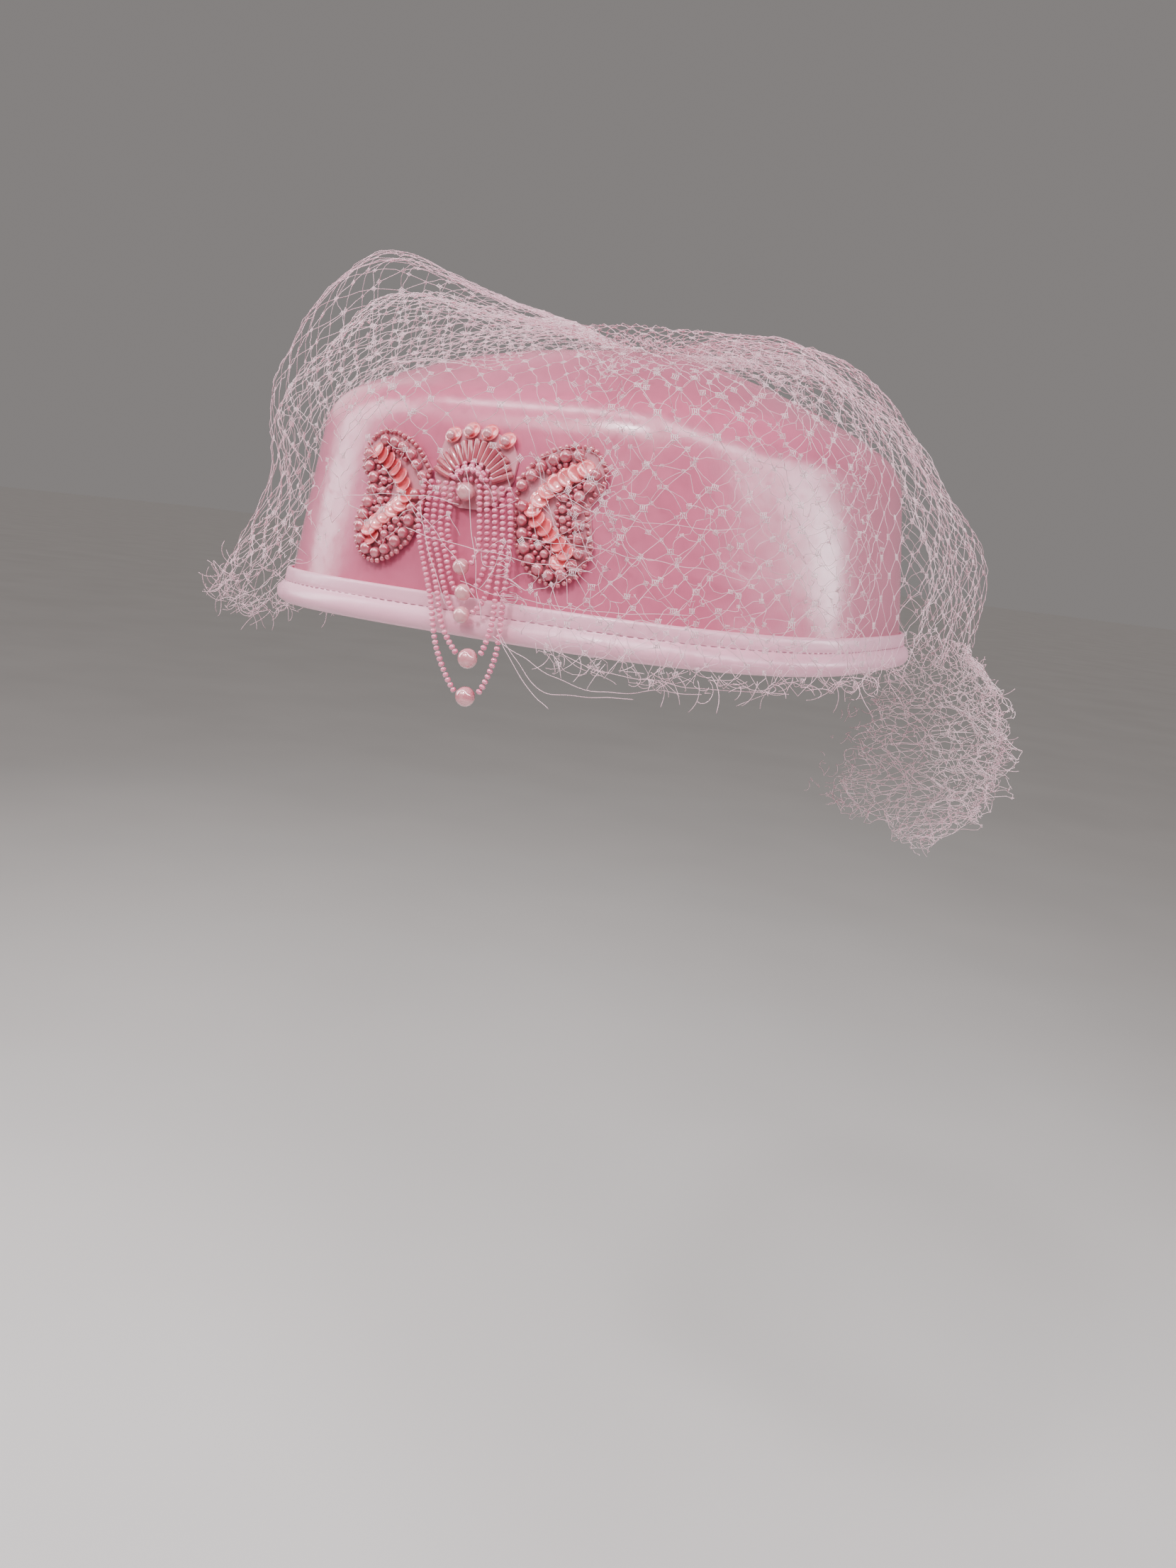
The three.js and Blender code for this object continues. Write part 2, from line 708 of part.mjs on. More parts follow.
// Smooth line through a veil section, sampled by share of its length
function veilSection(turn) {
  const degrees = THREE.MathUtils.radToDeg(turn);
  const read = (column) => readTable(veilSections, 'turn', column, degrees);
  const reach = planReach(turn);
  return new THREE.CatmullRomCurve3([
    new THREE.Vector3(gatherRadius, 0, gatherHeight - 0.8),
    new THREE.Vector3(reach * read('crestShare'), 0, crownHeight * read('crest')),
    new THREE.Vector3(reach + veilFullness * read('shoulder'), 0, veilShoulderHeight),
    new THREE.Vector3(reach + veilFullness * read('side'), 0, veilSideHeight),
    new THREE.Vector3(reach + veilFullness * read('hem'), 0, veilHemRise * read('hemHeight')),
  ], false, 'centripetal');
}

function veilPoint(u, v) {
  const turn = 2 * Math.PI * u;
  const flat = veilSection(turn).getPointAt(Math.min(Math.max(v, 0), 1));
  return new THREE.Vector3(flat.x * Math.cos(turn), flat.x * Math.sin(turn), flat.z);
}

// Same surface moved inwards by the thickness of the net
function insidePoint(surface, u, v, thickness) {
  const step = 0.004;
  const here = surface(u, v);
  const alongU = surface(u + step, v).sub(surface(u - step, v));
  const alongV = surface(u, Math.min(v + step, 1)).sub(surface(u, Math.max(v - step, 0)));
  const normal = alongU.cross(alongV).normalize();
  return here.add(normal.multiplyScalar(thickness));
}

function makeVeil() {
  const at = (u, v, side) => (side === 0 ? veilPoint(u, v) : insidePoint(veilPoint, u, v, netThickness));
  const net = lattice(netColumns, netRows, true, at);
  const pole = net.outer.length;
  net.outer.push(new THREE.Vector3(0, 0, gatherHeight));
  net.inner.push(new THREE.Vector3(0, 0, gatherHeight - netThickness));
  for (let i = 1; i < netColumns; i += 2) {
    net.triangles.push([net.add(i, 0), net.add(i + 2, 0), pole]);
  }
  return namedMesh('veil', shellGeometry(net.outer, net.inner, orient(net.triangles)), netMaterial());
}

// Turn neighbouring triangles the same way round, starting from the first
function orient(triangles) {
  const byEdge = new Map();
  triangles.forEach((t, n) => {
    for (const [p, q] of [[t[0], t[1]], [t[1], t[2]], [t[2], t[0]]]) {
      const key = p < q ? `${p}_${q}` : `${q}_${p}`;
      if (!byEdge.has(key)) byEdge.set(key, []);
      byEdge.get(key).push(n);
    }
  });
  const turned = triangles.map((t) => [...t]);
  const done = new Set([0]);
  const queue = [0];
  while (queue.length > 0) {
    const n = queue.pop();
    const t = turned[n];
    for (const [p, q] of [[t[0], t[1]], [t[1], t[2]], [t[2], t[0]]]) {
      const key = p < q ? `${p}_${q}` : `${q}_${p}`;
      for (const m of byEdge.get(key)) {
        if (done.has(m)) continue;
        const o = turned[m];
        const same = [[o[0], o[1]], [o[1], o[2]], [o[2], o[0]]].some((e) => e[0] === p && e[1] === q);
        if (same) turned[m] = [o[0], o[2], o[1]];
        done.add(m);
        queue.push(m);
      }
    }
  }
  return turned;
}

function tailPoint(u, v) {
  const read = (column) => readTable(tailSections, 'drop', column, v);
  const turn = THREE.MathUtils.degToRad(read('startTurn') + (read('endTurn') - read('startTurn')) * u);
  const off = veilFullness * (read('startOff') + (read('endOff') - read('startOff')) * u);
  const pleat = tailPleatDepth * Math.min(v * 2, 1) * Math.sin(2 * Math.PI * tailPleats * u);
  const reach = planReach(turn) + off + pleat;
  return new THREE.Vector3(reach * Math.cos(turn), reach * Math.sin(turn), tailTopHeight - tailLength * v);
}

function makeTail() {
  const at = (u, v, side) => (side === 0 ? tailPoint(u, v) : insidePoint(tailPoint, u, v, -netThickness));
  const net = lattice(tailColumns, tailRows, false, at);
  return namedMesh('veil_tail', shellGeometry(net.outer, net.inner, orient(net.triangles)), netMaterial());
}

const hat = new THREE.Group();
hat.name = 'pillbox_hat';
hat.add(makeCrown());
hat.add(makeBand());
hat.add(makeMedallion());
hat.add(makeWing('wing_left', 1));
hat.add(makeWing('wing_right', -1));
loopRows.forEach((row, n) => hat.add(makeLoop(row, n + 1)));
hat.add(makeVeil());
hat.add(makeTail());

export default hat;
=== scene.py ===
import math
import random

import bmesh
import bpy
import numpy as np
from mathutils import Matrix, Quaternion, Vector, noise


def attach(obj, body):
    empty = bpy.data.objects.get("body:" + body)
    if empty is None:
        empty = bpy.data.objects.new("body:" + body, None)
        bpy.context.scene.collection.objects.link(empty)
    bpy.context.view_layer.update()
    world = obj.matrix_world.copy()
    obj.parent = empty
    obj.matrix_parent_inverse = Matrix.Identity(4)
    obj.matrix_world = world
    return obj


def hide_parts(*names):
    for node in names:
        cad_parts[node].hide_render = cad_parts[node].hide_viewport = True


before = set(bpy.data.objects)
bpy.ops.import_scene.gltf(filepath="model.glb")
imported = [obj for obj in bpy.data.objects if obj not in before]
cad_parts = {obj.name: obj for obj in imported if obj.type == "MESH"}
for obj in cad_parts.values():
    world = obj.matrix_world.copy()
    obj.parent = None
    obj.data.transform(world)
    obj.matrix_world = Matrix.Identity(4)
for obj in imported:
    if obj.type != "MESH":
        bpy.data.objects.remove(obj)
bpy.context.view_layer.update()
bpy.ops.object.select_all(action="DESELECT")
mm = 0.001
# noise vectors start from the clock unless they are seeded
noise.seed_set(11)

# Shapes below are worked out in millimetres in the hat's own frame and made in metres.
crownSize = {
    "halfWidth": 85.5,
    "halfDepth": 87.8,
    "height": 82.2,
    "squareness": 3.2,
    "taperDegrees": 7.6,
    "shoulderRadius": 15.2,
    "shoulderEndDegrees": 61,
    "domeRise": 18.0,
    "wall": 1.8,
    "rimEdge": 2.4,
    "outlineSteps": 176,
}
taper = math.radians(crownSize["taperDegrees"])
meanHalf = (crownSize["halfWidth"] + crownSize["halfDepth"]) / 2
wallTop = crownSize["height"] - crownSize["domeRise"] - crownSize["shoulderRadius"]
shoulderCentre = (wallTop * math.sin(taper) + crownSize["shoulderRadius"]) / math.cos(taper)


def planPoint(turn):
    power = 2 / crownSize["squareness"]
    c, s = math.cos(turn), math.sin(turn)
    x = crownSize["halfWidth"] * math.copysign(abs(c) ** power, c)
    y = crownSize["halfDepth"] * math.copysign(abs(s) ** power, s)
    return x, y


def planReach(turn):
    n = crownSize["squareness"]
    c = abs(math.cos(turn)) / crownSize["halfWidth"]
    s = abs(math.sin(turn)) / crownSize["halfDepth"]
    return (c**n + s**n) ** (-1 / n)


def wallInset(height):
    # how far the crown has drawn in from its widest outline
    if height <= wallTop + crownSize["shoulderRadius"] * math.sin(taper):
        return max(height, 0) * math.tan(taper)
    rise = min(max((height - wallTop) / crownSize["shoulderRadius"], -1), 1)
    return shoulderCentre - crownSize["shoulderRadius"] * math.sqrt(1 - rise * rise)


def frontWall(x, height, lift):
    n = crownSize["squareness"]
    scale = (meanHalf - wallInset(height)) / meanHalf
    across = (abs(x) / (crownSize["halfWidth"] * scale)) ** n
    y = crownSize["halfDepth"] * scale * max(1 - across, 0) ** (1 / n)
    return Vector((x, -(y + lift), height))


def wallFrame(x, height):
    # right, outward and up directions of the front wall at a point
    here = frontWall(x, height, 0)
    right = (frontWall(x + 0.5, height, 0) - here).normalized()
    up = (frontWall(x, height + 0.5, 0) - here).normalized()
    out = right.cross(up).normalized()
    return right, out, up


def table(columns, *rows):
    # rows of values under the column names given first
    return [dict(zip(columns.split(), row)) for row in rows]


def readTable(rows, key, column, at):
    # value of a column at a place between two rows, eased from one row to the next
    if at <= rows[0][key]:
        return rows[0][column]
    for here, after in zip(rows, rows[1:]):
        if at <= after[key]:
            share = (at - here[key]) / (after[key] - here[key])
            share = share * share * (3 - 2 * share)
            return here[column] + (after[column] - here[column]) * share
    return rows[-1][column]


def smoothLine(points, count):
    # centripetal spline through the points, as count points of equal spacing
    pts = [Vector(p) for p in points]
    pts = [pts[0] * 2 - pts[1]] + pts + [pts[-1] * 2 - pts[-2]]
    fine = []
    for a, b, c, d in zip(pts, pts[1:], pts[2:], pts[3:]):
        t0 = 0.0
        t1 = t0 + max((b - a).length, 1e-6) ** 0.5
        t2 = t1 + max((c - b).length, 1e-6) ** 0.5
        t3 = t2 + max((d - c).length, 1e-6) ** 0.5
        for k in range(16):
            t = t1 + (t2 - t1) * k / 16
            a1 = a * ((t1 - t) / (t1 - t0)) + b * ((t - t0) / (t1 - t0))
            a2 = b * ((t2 - t) / (t2 - t1)) + c * ((t - t1) / (t2 - t1))
            a3 = c * ((t3 - t) / (t3 - t2)) + d * ((t - t2) / (t3 - t2))
            b1 = a1 * ((t2 - t) / (t2 - t0)) + a2 * ((t - t0) / (t2 - t0))
            b2 = a2 * ((t3 - t) / (t3 - t1)) + a3 * ((t - t1) / (t3 - t1))
            fine.append(b1 * ((t2 - t) / (t2 - t1)) + b2 * ((t - t1) / (t2 - t1)))
    fine.append(pts[-2])
    line = np.array([tuple(p) for p in fine])
    steps = np.linalg.norm(np.diff(line, axis=0), axis=1)
    along = np.concatenate([[0], np.cumsum(steps)])
    at = np.linspace(0, along[-1], count)
    return np.stack([np.interp(at, along, line[:, i]) for i in range(3)], axis=1), along[-1]


# Materials
def linear(code):
    value = []
    for i in (0, 2, 4):
        c = int(code[i : i + 2], 16) / 255
        value.append(c / 12.92 if c <= 0.04045 else ((c + 0.055) / 1.055) ** 2.4)
    return (*value, 1.0)


def addNode(tree, kind, settings=None, links=None):
    node = tree.nodes.new(kind)
    for name, value in (settings or {}).items():
        if name in node.inputs:
            node.inputs[name].default_value = value
        else:
            setattr(node, name, value)
    for name, socket in (links or {}).items():
        tree.links.new(socket, node.inputs[name])
    return node


def newMaterial(name, tones, cloudMm, surface, detail=2.0, start=0.3):
    # a surface whose colour drifts between two close tones, in soft clouds of about cloudMm
    made = bpy.data.materials.new(name)
    made.use_nodes = True
    tree = made.node_tree
    tree.nodes.clear()
    place = addNode(tree, "ShaderNodeTexCoord").outputs["Object"]
    cloud = addNode(tree, "ShaderNodeTexNoise", {"Scale": 1 / (cloudMm * mm), "Detail": detail},
                    {"Vector": place})
    tone = addNode(tree, "ShaderNodeValToRGB", {}, {"Fac": cloud.outputs["Fac"]})
    for stop, at, code in zip(tone.color_ramp.elements, (start, 1 - start), tones):
        stop.position = at
        stop.color = linear(code)
    shader = addNode(tree, "ShaderNodeBsdfPrincipled", surface, {"Base Color": tone.outputs["Color"]})
    addNode(tree, "ShaderNodeOutputMaterial", {}, {"Surface": shader.outputs["BSDF"]})
    return made, tree, shader, place


# Polyester satin: woven float threads give a soft broad shine with a faint grain
def satinMaterial(name, low, high, roughness, threadMm, bump, gloss):
    made, tree, shader, place = newMaterial(name, (low, high), 38.5, {
        "Roughness": roughness, "Specular IOR Level": 0.9, "Coat Weight": gloss, "Coat Roughness": 0.17,
        "Sheen Weight": 0.08, "Sheen Roughness": 0.4, "Sheen Tint": linear("F6E4EE"),
    }, detail=4.0)
    stretched = addNode(tree, "ShaderNodeMapping", {"Scale": (1.0, 1.0, 0.22)}, {"Vector": place})
    # real satin floats are under 0.2 mm apart, drawn at threadMm so that they show
    grain = addNode(tree, "ShaderNodeTexNoise", {"Scale": 1 / (threadMm * mm), "Detail": 2.0},
                    {"Vector": stretched.outputs["Vector"]})
    # shallow dimples about 18 mm across, where the cloth isn't quite taut
    dimples = addNode(tree, "ShaderNodeTexNoise", {"Scale": 55.0, "Detail": 3.0}, {"Vector": place})
    soft = addNode(tree, "ShaderNodeBump", {"Strength": 0.13, "Distance": 0.004},
                   {"Height": dimples.outputs["Fac"]})
    fine = addNode(tree, "ShaderNodeBump", {"Strength": bump, "Distance": 0.0002},
                   {"Height": grain.outputs["Fac"], "Normal": soft.outputs["Normal"]})
    tree.links.new(fine.outputs["Normal"], shader.inputs["Normal"])
    return made


# Glass and pearlised acrylic beads: hard, clear-coated, each a little different in tone
def beadMaterial(name, low, high, roughness, coatIor, metallic=0.0, clear=0.0):
    return newMaterial(name, (low, high), 2.38, {
        "Roughness": roughness, "Metallic": metallic, "Transmission Weight": clear,
        "Coat Weight": 1.0, "Coat IOR": coatIor, "Coat Roughness": 0.04,
    }, detail=1.0, start=0.35)[0]


# Drawn thread: thin, stiff and only slightly shiny
def threadMaterial(name, low, high, roughness):
    return newMaterial(name, (low, high), 11.1, {"Roughness": roughness, "Specular IOR Level": 0.5})[0]


# woven and pulled taut over the form: broad soft highlights on a deep pink
crownSatin = satinMaterial("pinkPolyesterSatin", "C55B7A", "CD6786", 0.27, 0.35, 0.18, 0.45)
# the same satin cut on the bias and folded, less glossy; its paler tone is painted light, standing in for
# light thrown up onto the band from below
bandSatin = satinMaterial("pinkSatinBindingWithPaintedLight", "EAA6BC", "F1B3C7", 0.34, 0.35, 0.22, 0.2)
# plain woven backing under the beads: matte
backingCloth = satinMaterial("pinkBackingCloth", "C97C8C", "D38998", 0.6, 0.5, 0.3, 0.0)
# moulded acrylic with a pearl coat: a sharp glint over a soft dusky pink
pearlFinish = beadMaterial("rosePearlAcrylic", "BA5064", "D27683", 0.12, 1.9, 0.1)
bigPearlFinish = beadMaterial("palePearlAcrylic", "D4808C", "E49EA5", 0.1, 1.9, 0.1)
# cut and tumbled glass seeds: small wet-looking points of light
roseFinish = beadMaterial("deepRoseGlassSeed", "B8485E", "CE6577", 0.14, 1.7, 0.05)
seedFinish = beadMaterial("pinkLustreGlassSeed", "DB6E90", "EA8DA7", 0.12, 1.8, 0.05)
# drawn glass tube: a line of light along each bugle, and a little seen through it
bugleFinish = beadMaterial("roseGlassBugle", "B04A5B", "C5636F", 0.14, 1.6, 0.0, 0.1)
# pressed foil discs: flat coral flashes
sequinFinish = beadMaterial("coralPinkSequinFoil", "F0626F", "F98088", 0.2, 1.6, 0.05)
# millinery net: pale threads with paler knots where they are tied
netFinish = threadMaterial("palePinkNylonNet", "E0AFBC", "EEC9D2", 0.5)
knotFinish = threadMaterial("paleNylonNetKnots", "F0CED6", "F8E0E4", 0.5)
# spun sewing thread: a darker dashed line on the band
stitchFinish = threadMaterial("rosePolyesterThread", "A96C7E", "BC8092", 0.6)


# Object helpers
def makeObject(name, vertices, faces, material, smooth=True):
    mesh = bpy.data.meshes.new(name)
    mesh.from_pydata([tuple(v) for v in vertices], [], faces)
    mesh.materials.append(material)
    if smooth:
        mesh.polygons.foreach_set("use_smooth", [True] * len(mesh.polygons))
    mesh.update()
    made = bpy.data.objects.new(name, mesh)
    bpy.context.collection.objects.link(made)
    return made


def finishPiece(piece, slotName, *nodes):
    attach(piece, "root")
    if nodes:
        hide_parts(*nodes)
    triangles = sum(len(p.vertices) - 2 for p in piece.data.polygons)
    print("piece", piece.name, "triangles", triangles)


def activate(piece):
    bpy.ops.object.select_all(action="DESELECT")
    piece.select_set(True)
    bpy.context.view_layer.objects.active = piece


def outlineCircle(name, inset, height):
    # a circle of vertices moved to the crown's rounded-square outline
    bpy.ops.object.select_all(action="DESELECT")
    bpy.ops.mesh.primitive_circle_add(vertices=crownSize["outlineSteps"], radius=0.08, fill_type="NOTHING",
                                      location=(0, 0, 0))
    piece = bpy.context.object
    piece.name = name
    piece.data.name = name
    scale = (meanHalf - inset) / meanHalf
    for i, vertex in enumerate(piece.data.vertices):
        x, y = planPoint(2 * math.pi * i / crownSize["outlineSteps"])
        vertex.co = (x * scale * mm, y * scale * mm, height * mm)
    return piece


def extrudeRings(rows, name):
    # rows of inset and height, each ring extruded from the one before
    piece = outlineCircle(name, *rows[0])
    bpy.ops.object.mode_set(mode="EDIT")
    bpy.ops.mesh.select_all(action="SELECT")
    for before, row in zip(rows, rows[1:]):
        bpy.ops.mesh.extrude_region_move(TRANSFORM_OT_translate={"value": (0, 0, (row[1] - before[1]) * mm)})
        ratio = (meanHalf - row[0]) / (meanHalf - before[0])
        bpy.ops.transform.resize(value=(ratio, ratio, 1), center_override=(0, 0, 0))
    return piece


# Crown: satin pulled over a moulded shell
def crownRows():
    rows = []
    for i in range(15):
        height = crownSize["rimEdge"] + (wallTop - crownSize["rimEdge"]) * i / 14
        rows.append((height * math.tan(taper), height))
    end = math.radians(crownSize["shoulderEndDegrees"])
    for i in range(11):
        turn = taper + (end - taper) * i / 10
        inset = shoulderCentre - crownSize["shoulderRadius"] * math.cos(turn)
        rows.append((inset, wallTop + crownSize["shoulderRadius"] * math.sin(turn)))
    edgeInset, edgeHeight = rows[-1]
    for i in range(1, 18):
        share = 1 - i / 18
        rows.append((meanHalf - (meanHalf - edgeInset) * share,
                     edgeHeight + (crownSize["height"] - edgeHeight) * (1 - share * share)))
    return rows


# Slack in the cloth: soft pulls all over, and fine puckers round the foot of the wall
clothLook = {
    "pull": 0.22,
    "pullSize": 34.0,
    "pucker": 0.16,
    "puckerCount": 61,
    "puckerHeight": 11,
    "puckerReach": 9,
}


def makeCrown():
    piece = extrudeRings(crownRows(), "crownSatin")
    bpy.ops.mesh.edge_face_add()
    bpy.ops.mesh.poke()
    bpy.ops.mesh.select_all(action="SELECT")
    bpy.ops.mesh.remove_doubles(threshold=0.00001)
    bpy.ops.mesh.normals_make_consistent(inside=False)
    bpy.ops.object.mode_set(mode="OBJECT")
    for vertex in piece.data.vertices:
        spot = vertex.co / mm
        if spot.z > crownSize["height"] - 0.5:
            vertex.co.z = crownSize["height"] * mm
            continue
        out = Vector((spot.x, spot.y, 0)).normalized()
        turn = math.atan2(spot.y, spot.x)
        dent = clothLook["pull"] * (noise.noise(spot / clothLook["pullSize"]) - 0.35)
        near = max(0, 1 - abs(spot.z - clothLook["puckerHeight"]) / clothLook["puckerReach"])
        pucker = 0.5 + 0.5 * math.sin(clothLook["puckerCount"] * turn + 3 * noise.noise(spot / 20))
        dent -= clothLook["pucker"] * near * pucker
        vertex.co += out * dent * mm
    activate(piece)
    wall = piece.modifiers.new("wall", "SOLIDIFY")
    wall.thickness = crownSize["wall"] * mm
    wall.offset = -1
    bpy.ops.object.modifier_apply(modifier="wall")
    bpy.ops.object.shade_smooth_by_angle(angle=math.radians(40))
    piece.data.materials.clear()
    piece.data.materials.append(crownSatin)
    finishPiece(piece, "pink_satin", "crown")


# Band: folded satin strip round the rim
bandLook = {
    "top": 9.9,
    "gap": 0.3,
    "cloth": 1.0,
    "insideTop": 7.8,
    "waver": 0.16,
    "stitchHeight": 6.15,
    "stitchOut": 1.42,
    "stitchLength": 1.8,
    "stitchPitch": 2.5,
    "stitchWidth": 0.32,
}


def bandSection():
    # out from the wall and height, up over the strip, round the lower roll and up inside the crown
    b = bandLook
    inside = -crownSize["wall"] - b["gap"]
    return [
        (b["gap"], 9.2), (0.45, 9.7), (0.8, b["top"]), (1.15, 9.85), (1.4, 9.55), (1.5, 9.1), (1.52, 8.2),
        (1.5, 7.3), (1.46, 6.6), (1.38, 6.3), (1.4, 6.0), (1.66, 5.7), (2.15, 5.2), (2.52, 4.5),
        (2.75, 3.7), (2.8, 2.8), (2.6, 1.9), (2.15, 1.1), (1.5, 0.5), (0.6, 0.12), (-0.4, 0.0), (-1.4, 0.1),
        (-2.3, 0.5), (-2.8, 1.2), (inside - b["cloth"], 2.2), (inside - b["cloth"], b["insideTop"] - 0.5),
        (inside - 0.5, b["insideTop"]), (inside, b["insideTop"] - 0.4), (inside, 2.1), (b["gap"], 2.1),
    ]


def makeBand():
    rows = [(max(z, 0) * math.tan(taper) - out, z) for out, z in bandSection()]
    rows.append(rows[0])
    piece = extrudeRings(rows, "bandSatin")
    bpy.ops.mesh.select_all(action="SELECT")
    bpy.ops.mesh.remove_doubles(threshold=0.00002)
    bpy.ops.mesh.normals_make_consistent(inside=False)
    bpy.ops.object.mode_set(mode="OBJECT")
    for vertex in piece.data.vertices:
        spot = vertex.co / mm
        outer = Vector((spot.x, spot.y)).length
        turn = math.atan2(spot.y, spot.x)
        if outer > planReach(turn) + 0.4:
            wave = noise.noise(Vector((spot.x / 14, spot.y / 14, 3.0)))
            vertex.co += Vector((spot.x, spot.y, 0)).normalized() * bandLook["waver"] * wave * mm
            vertex.co.z += 0.12 * noise.noise(Vector((spot.x / 22, spot.y / 22, 9.0))) * mm
    activate(piece)
    bpy.ops.object.shade_smooth_by_angle(angle=math.radians(50))
    piece.data.materials.clear()
    piece.data.materials.append(bandSatin)
    finishPiece(piece, "band_satin", "band")


# Small shapes that repeat: each is modelled once, in millimetres, and copied into joined meshes
def template(kind):
    bpy.ops.object.select_all(action="DESELECT")
    if kind == "pearl":
        bpy.ops.mesh.primitive_uv_sphere_add(segments=14, ring_count=9, radius=0.5)
    elif kind == "seed":
        bpy.ops.mesh.primitive_uv_sphere_add(segments=10, ring_count=6, radius=0.5)
        for vertex in bpy.context.object.data.vertices:
            vertex.co.z = math.copysign(min(abs(vertex.co.z), 0.4), vertex.co.z)
    elif kind == "bugle":
        bpy.ops.mesh.primitive_cylinder_add(vertices=10, radius=0.5, depth=1.0)
    elif kind == "sequin":
        bpy.ops.mesh.primitive_cylinder_add(vertices=14, radius=0.5, depth=0.06)
    elif kind == "knot":
        # four short threads side by side, held by a thread across each end
        quarter = math.pi / 2
        bars = [((x, 0, 0), (0, 0, 0), 0.9) for x in (-0.36, -0.12, 0.12, 0.36)]
        bars += [((0, 0, z), (0, quarter, 0), 1.0) for z in (-0.4, 0.4)]
        threads = []
        for place, turned, length in bars:
            bpy.ops.mesh.primitive_cylinder_add(vertices=3, radius=0.05, depth=length, location=place,
                                                rotation=turned)
            threads.append(bpy.context.object)
        for thread in threads:
            thread.select_set(True)
        bpy.ops.object.join()
        bpy.ops.object.transform_apply(location=True, rotation=True, scale=True)
    elif kind == "stitch":
        bpy.ops.mesh.primitive_uv_sphere_add(segments=6, ring_count=5, radius=0.5)
    piece = bpy.context.object
    if kind in ("bugle", "sequin"):
        bpy.ops.object.mode_set(mode="EDIT")
        bpy.ops.mesh.select_all(action="SELECT")
        if kind == "bugle":
            bpy.ops.mesh.bevel(offset=0.05, segments=1, affect="EDGES")
        bpy.ops.object.mode_set(mode="OBJECT")
    if kind == "sequin":
        shape = bmesh.new()
        shape.from_mesh(piece.data)
        # pressed into a shallow cup with a flat middle
        for flat in [f for f in shape.faces if len(f.verts) > 4]:
            bmesh.ops.inset_individual(shape, faces=[flat], thickness=0.16)
            for vertex in flat.verts:
                vertex.co.z -= 0.07
            bmesh.ops.inset_individual(shape, faces=[flat], thickness=0.24)
            for vertex in flat.verts:
                vertex.co.z -= 0.03
        shape.to_mesh(piece.data)
        shape.free()
    mesh = piece.data
    vertices = np.array([tuple(v.co) for v in mesh.vertices])
    faces = [tuple(p.vertices) for p in mesh.polygons]
    bpy.data.objects.remove(piece, do_unlink=True)
    return vertices, faces


shapes = {kind: template(kind) for kind in ("pearl", "seed", "bugle", "sequin", "knot", "stitch")}


def addShape(kind, centre, axes, vertices, faces):
    # one more copy of a small shape, with its axes scaled to the size, in millimetres
    shape, shapeFaces = shapes[kind]
    start = len(vertices)
    placed = sum(np.outer(shape[:, k], axes[k]) for k in range(3)) + np.array(centre)
    vertices.extend(map(tuple, placed * mm))
    faces.extend([tuple(start + v for v in face) for face in shapeFaces])


def scatter(name, kind, places, material):
    # places: centre, x axis, y axis and z axis of each copy
    vertices, faces = [], []
    for centre, *axes in places:
        addShape(kind, centre, axes, vertices, faces)
    return makeObject(name, vertices, faces, material)


def axesAlong(direction, out, width, height, length):
    # local z along direction, local y outwards
    z = Vector(direction).normalized()
    x = Vector(out).cross(z).normalized()
    y = z.cross(x).normalized()
    return tuple(x * width), tuple(y * height), tuple(z * length)


def measured(line):
    # how far each point of a line is from its start
    return np.concatenate([[0], np.cumsum(np.linalg.norm(np.diff(line, axis=0), axis=1))])


def makeStitches():
    b = bandLook
    steps = 2000
    scale = (meanHalf - (b["stitchHeight"] * math.tan(taper) - b["stitchOut"])) / meanHalf
    ring = [planPoint(2 * math.pi * i / steps) for i in range(steps + 1)]
    line = np.array([(x * scale, y * scale, b["stitchHeight"]) for x, y in ring])
    along = measured(line)
    count = int(along[-1] / b["stitchPitch"])
    places = []
    for i in range(count):
        at = along[-1] * i / count
        here = Vector([np.interp(at, along, line[:, k]) for k in range(3)])
        ahead = Vector([np.interp(at + 1.0, along, line[:, k]) for k in range(3)])
        direction = (ahead - here).normalized()
        # every stitch leans a little off the line
        direction.z = 0.05 * math.sin(i * 2.3)
        out = Vector((direction.y, -direction.x, 0))
        size = (b["stitchWidth"], b["stitchWidth"] * 0.9, b["stitchLength"])
        places.append((tuple(here), *axesAlong(direction, out, *size)))
    finishPiece(scatter("bandStitches", "stitch", places, stitchFinish), "band_satin")


# Ornament: wings and centre, laid out on the front wall
ornament = {
    "middle": -0.2,
    "backingBack": 0.3,
    "backing": 0.7,
    "backingShare": 0.97,
    "backingRings": 5,
    "sequin": 4.7,
    "sequinLift": 1.25,
    "jitter": 0.14,
}
backingFront = ornament["backingBack"] + ornament["backing"]

# Outlines as across and height
wingEdge = [
    (12.6, 40.1), (16.6, 44.7), (20.8, 47.6), (26.0, 49.2), (31.6, 48.9), (35.8, 44.6), (35.8, 39.4),
    (33.0, 35.3), (34.0, 30.4), (35.6, 25.0), (33.4, 18.2), (28.0, 15.0), (22.0, 16.2), (16.4, 21.0),
    (14.0, 26.4), (13.0, 33.4),
]
heartEdge = [
    (-12.0, 43.4), (-10.6, 48.4), (-5.0, 51.2), (2.0, 51.2), (9.0, 49.2), (12.0, 44.6), (11.6, 39.0),
    (8.0, 33.0), (2.4, 31.0), (-3.0, 31.0), (-8.6, 33.0), (-12.2, 38.4),
]

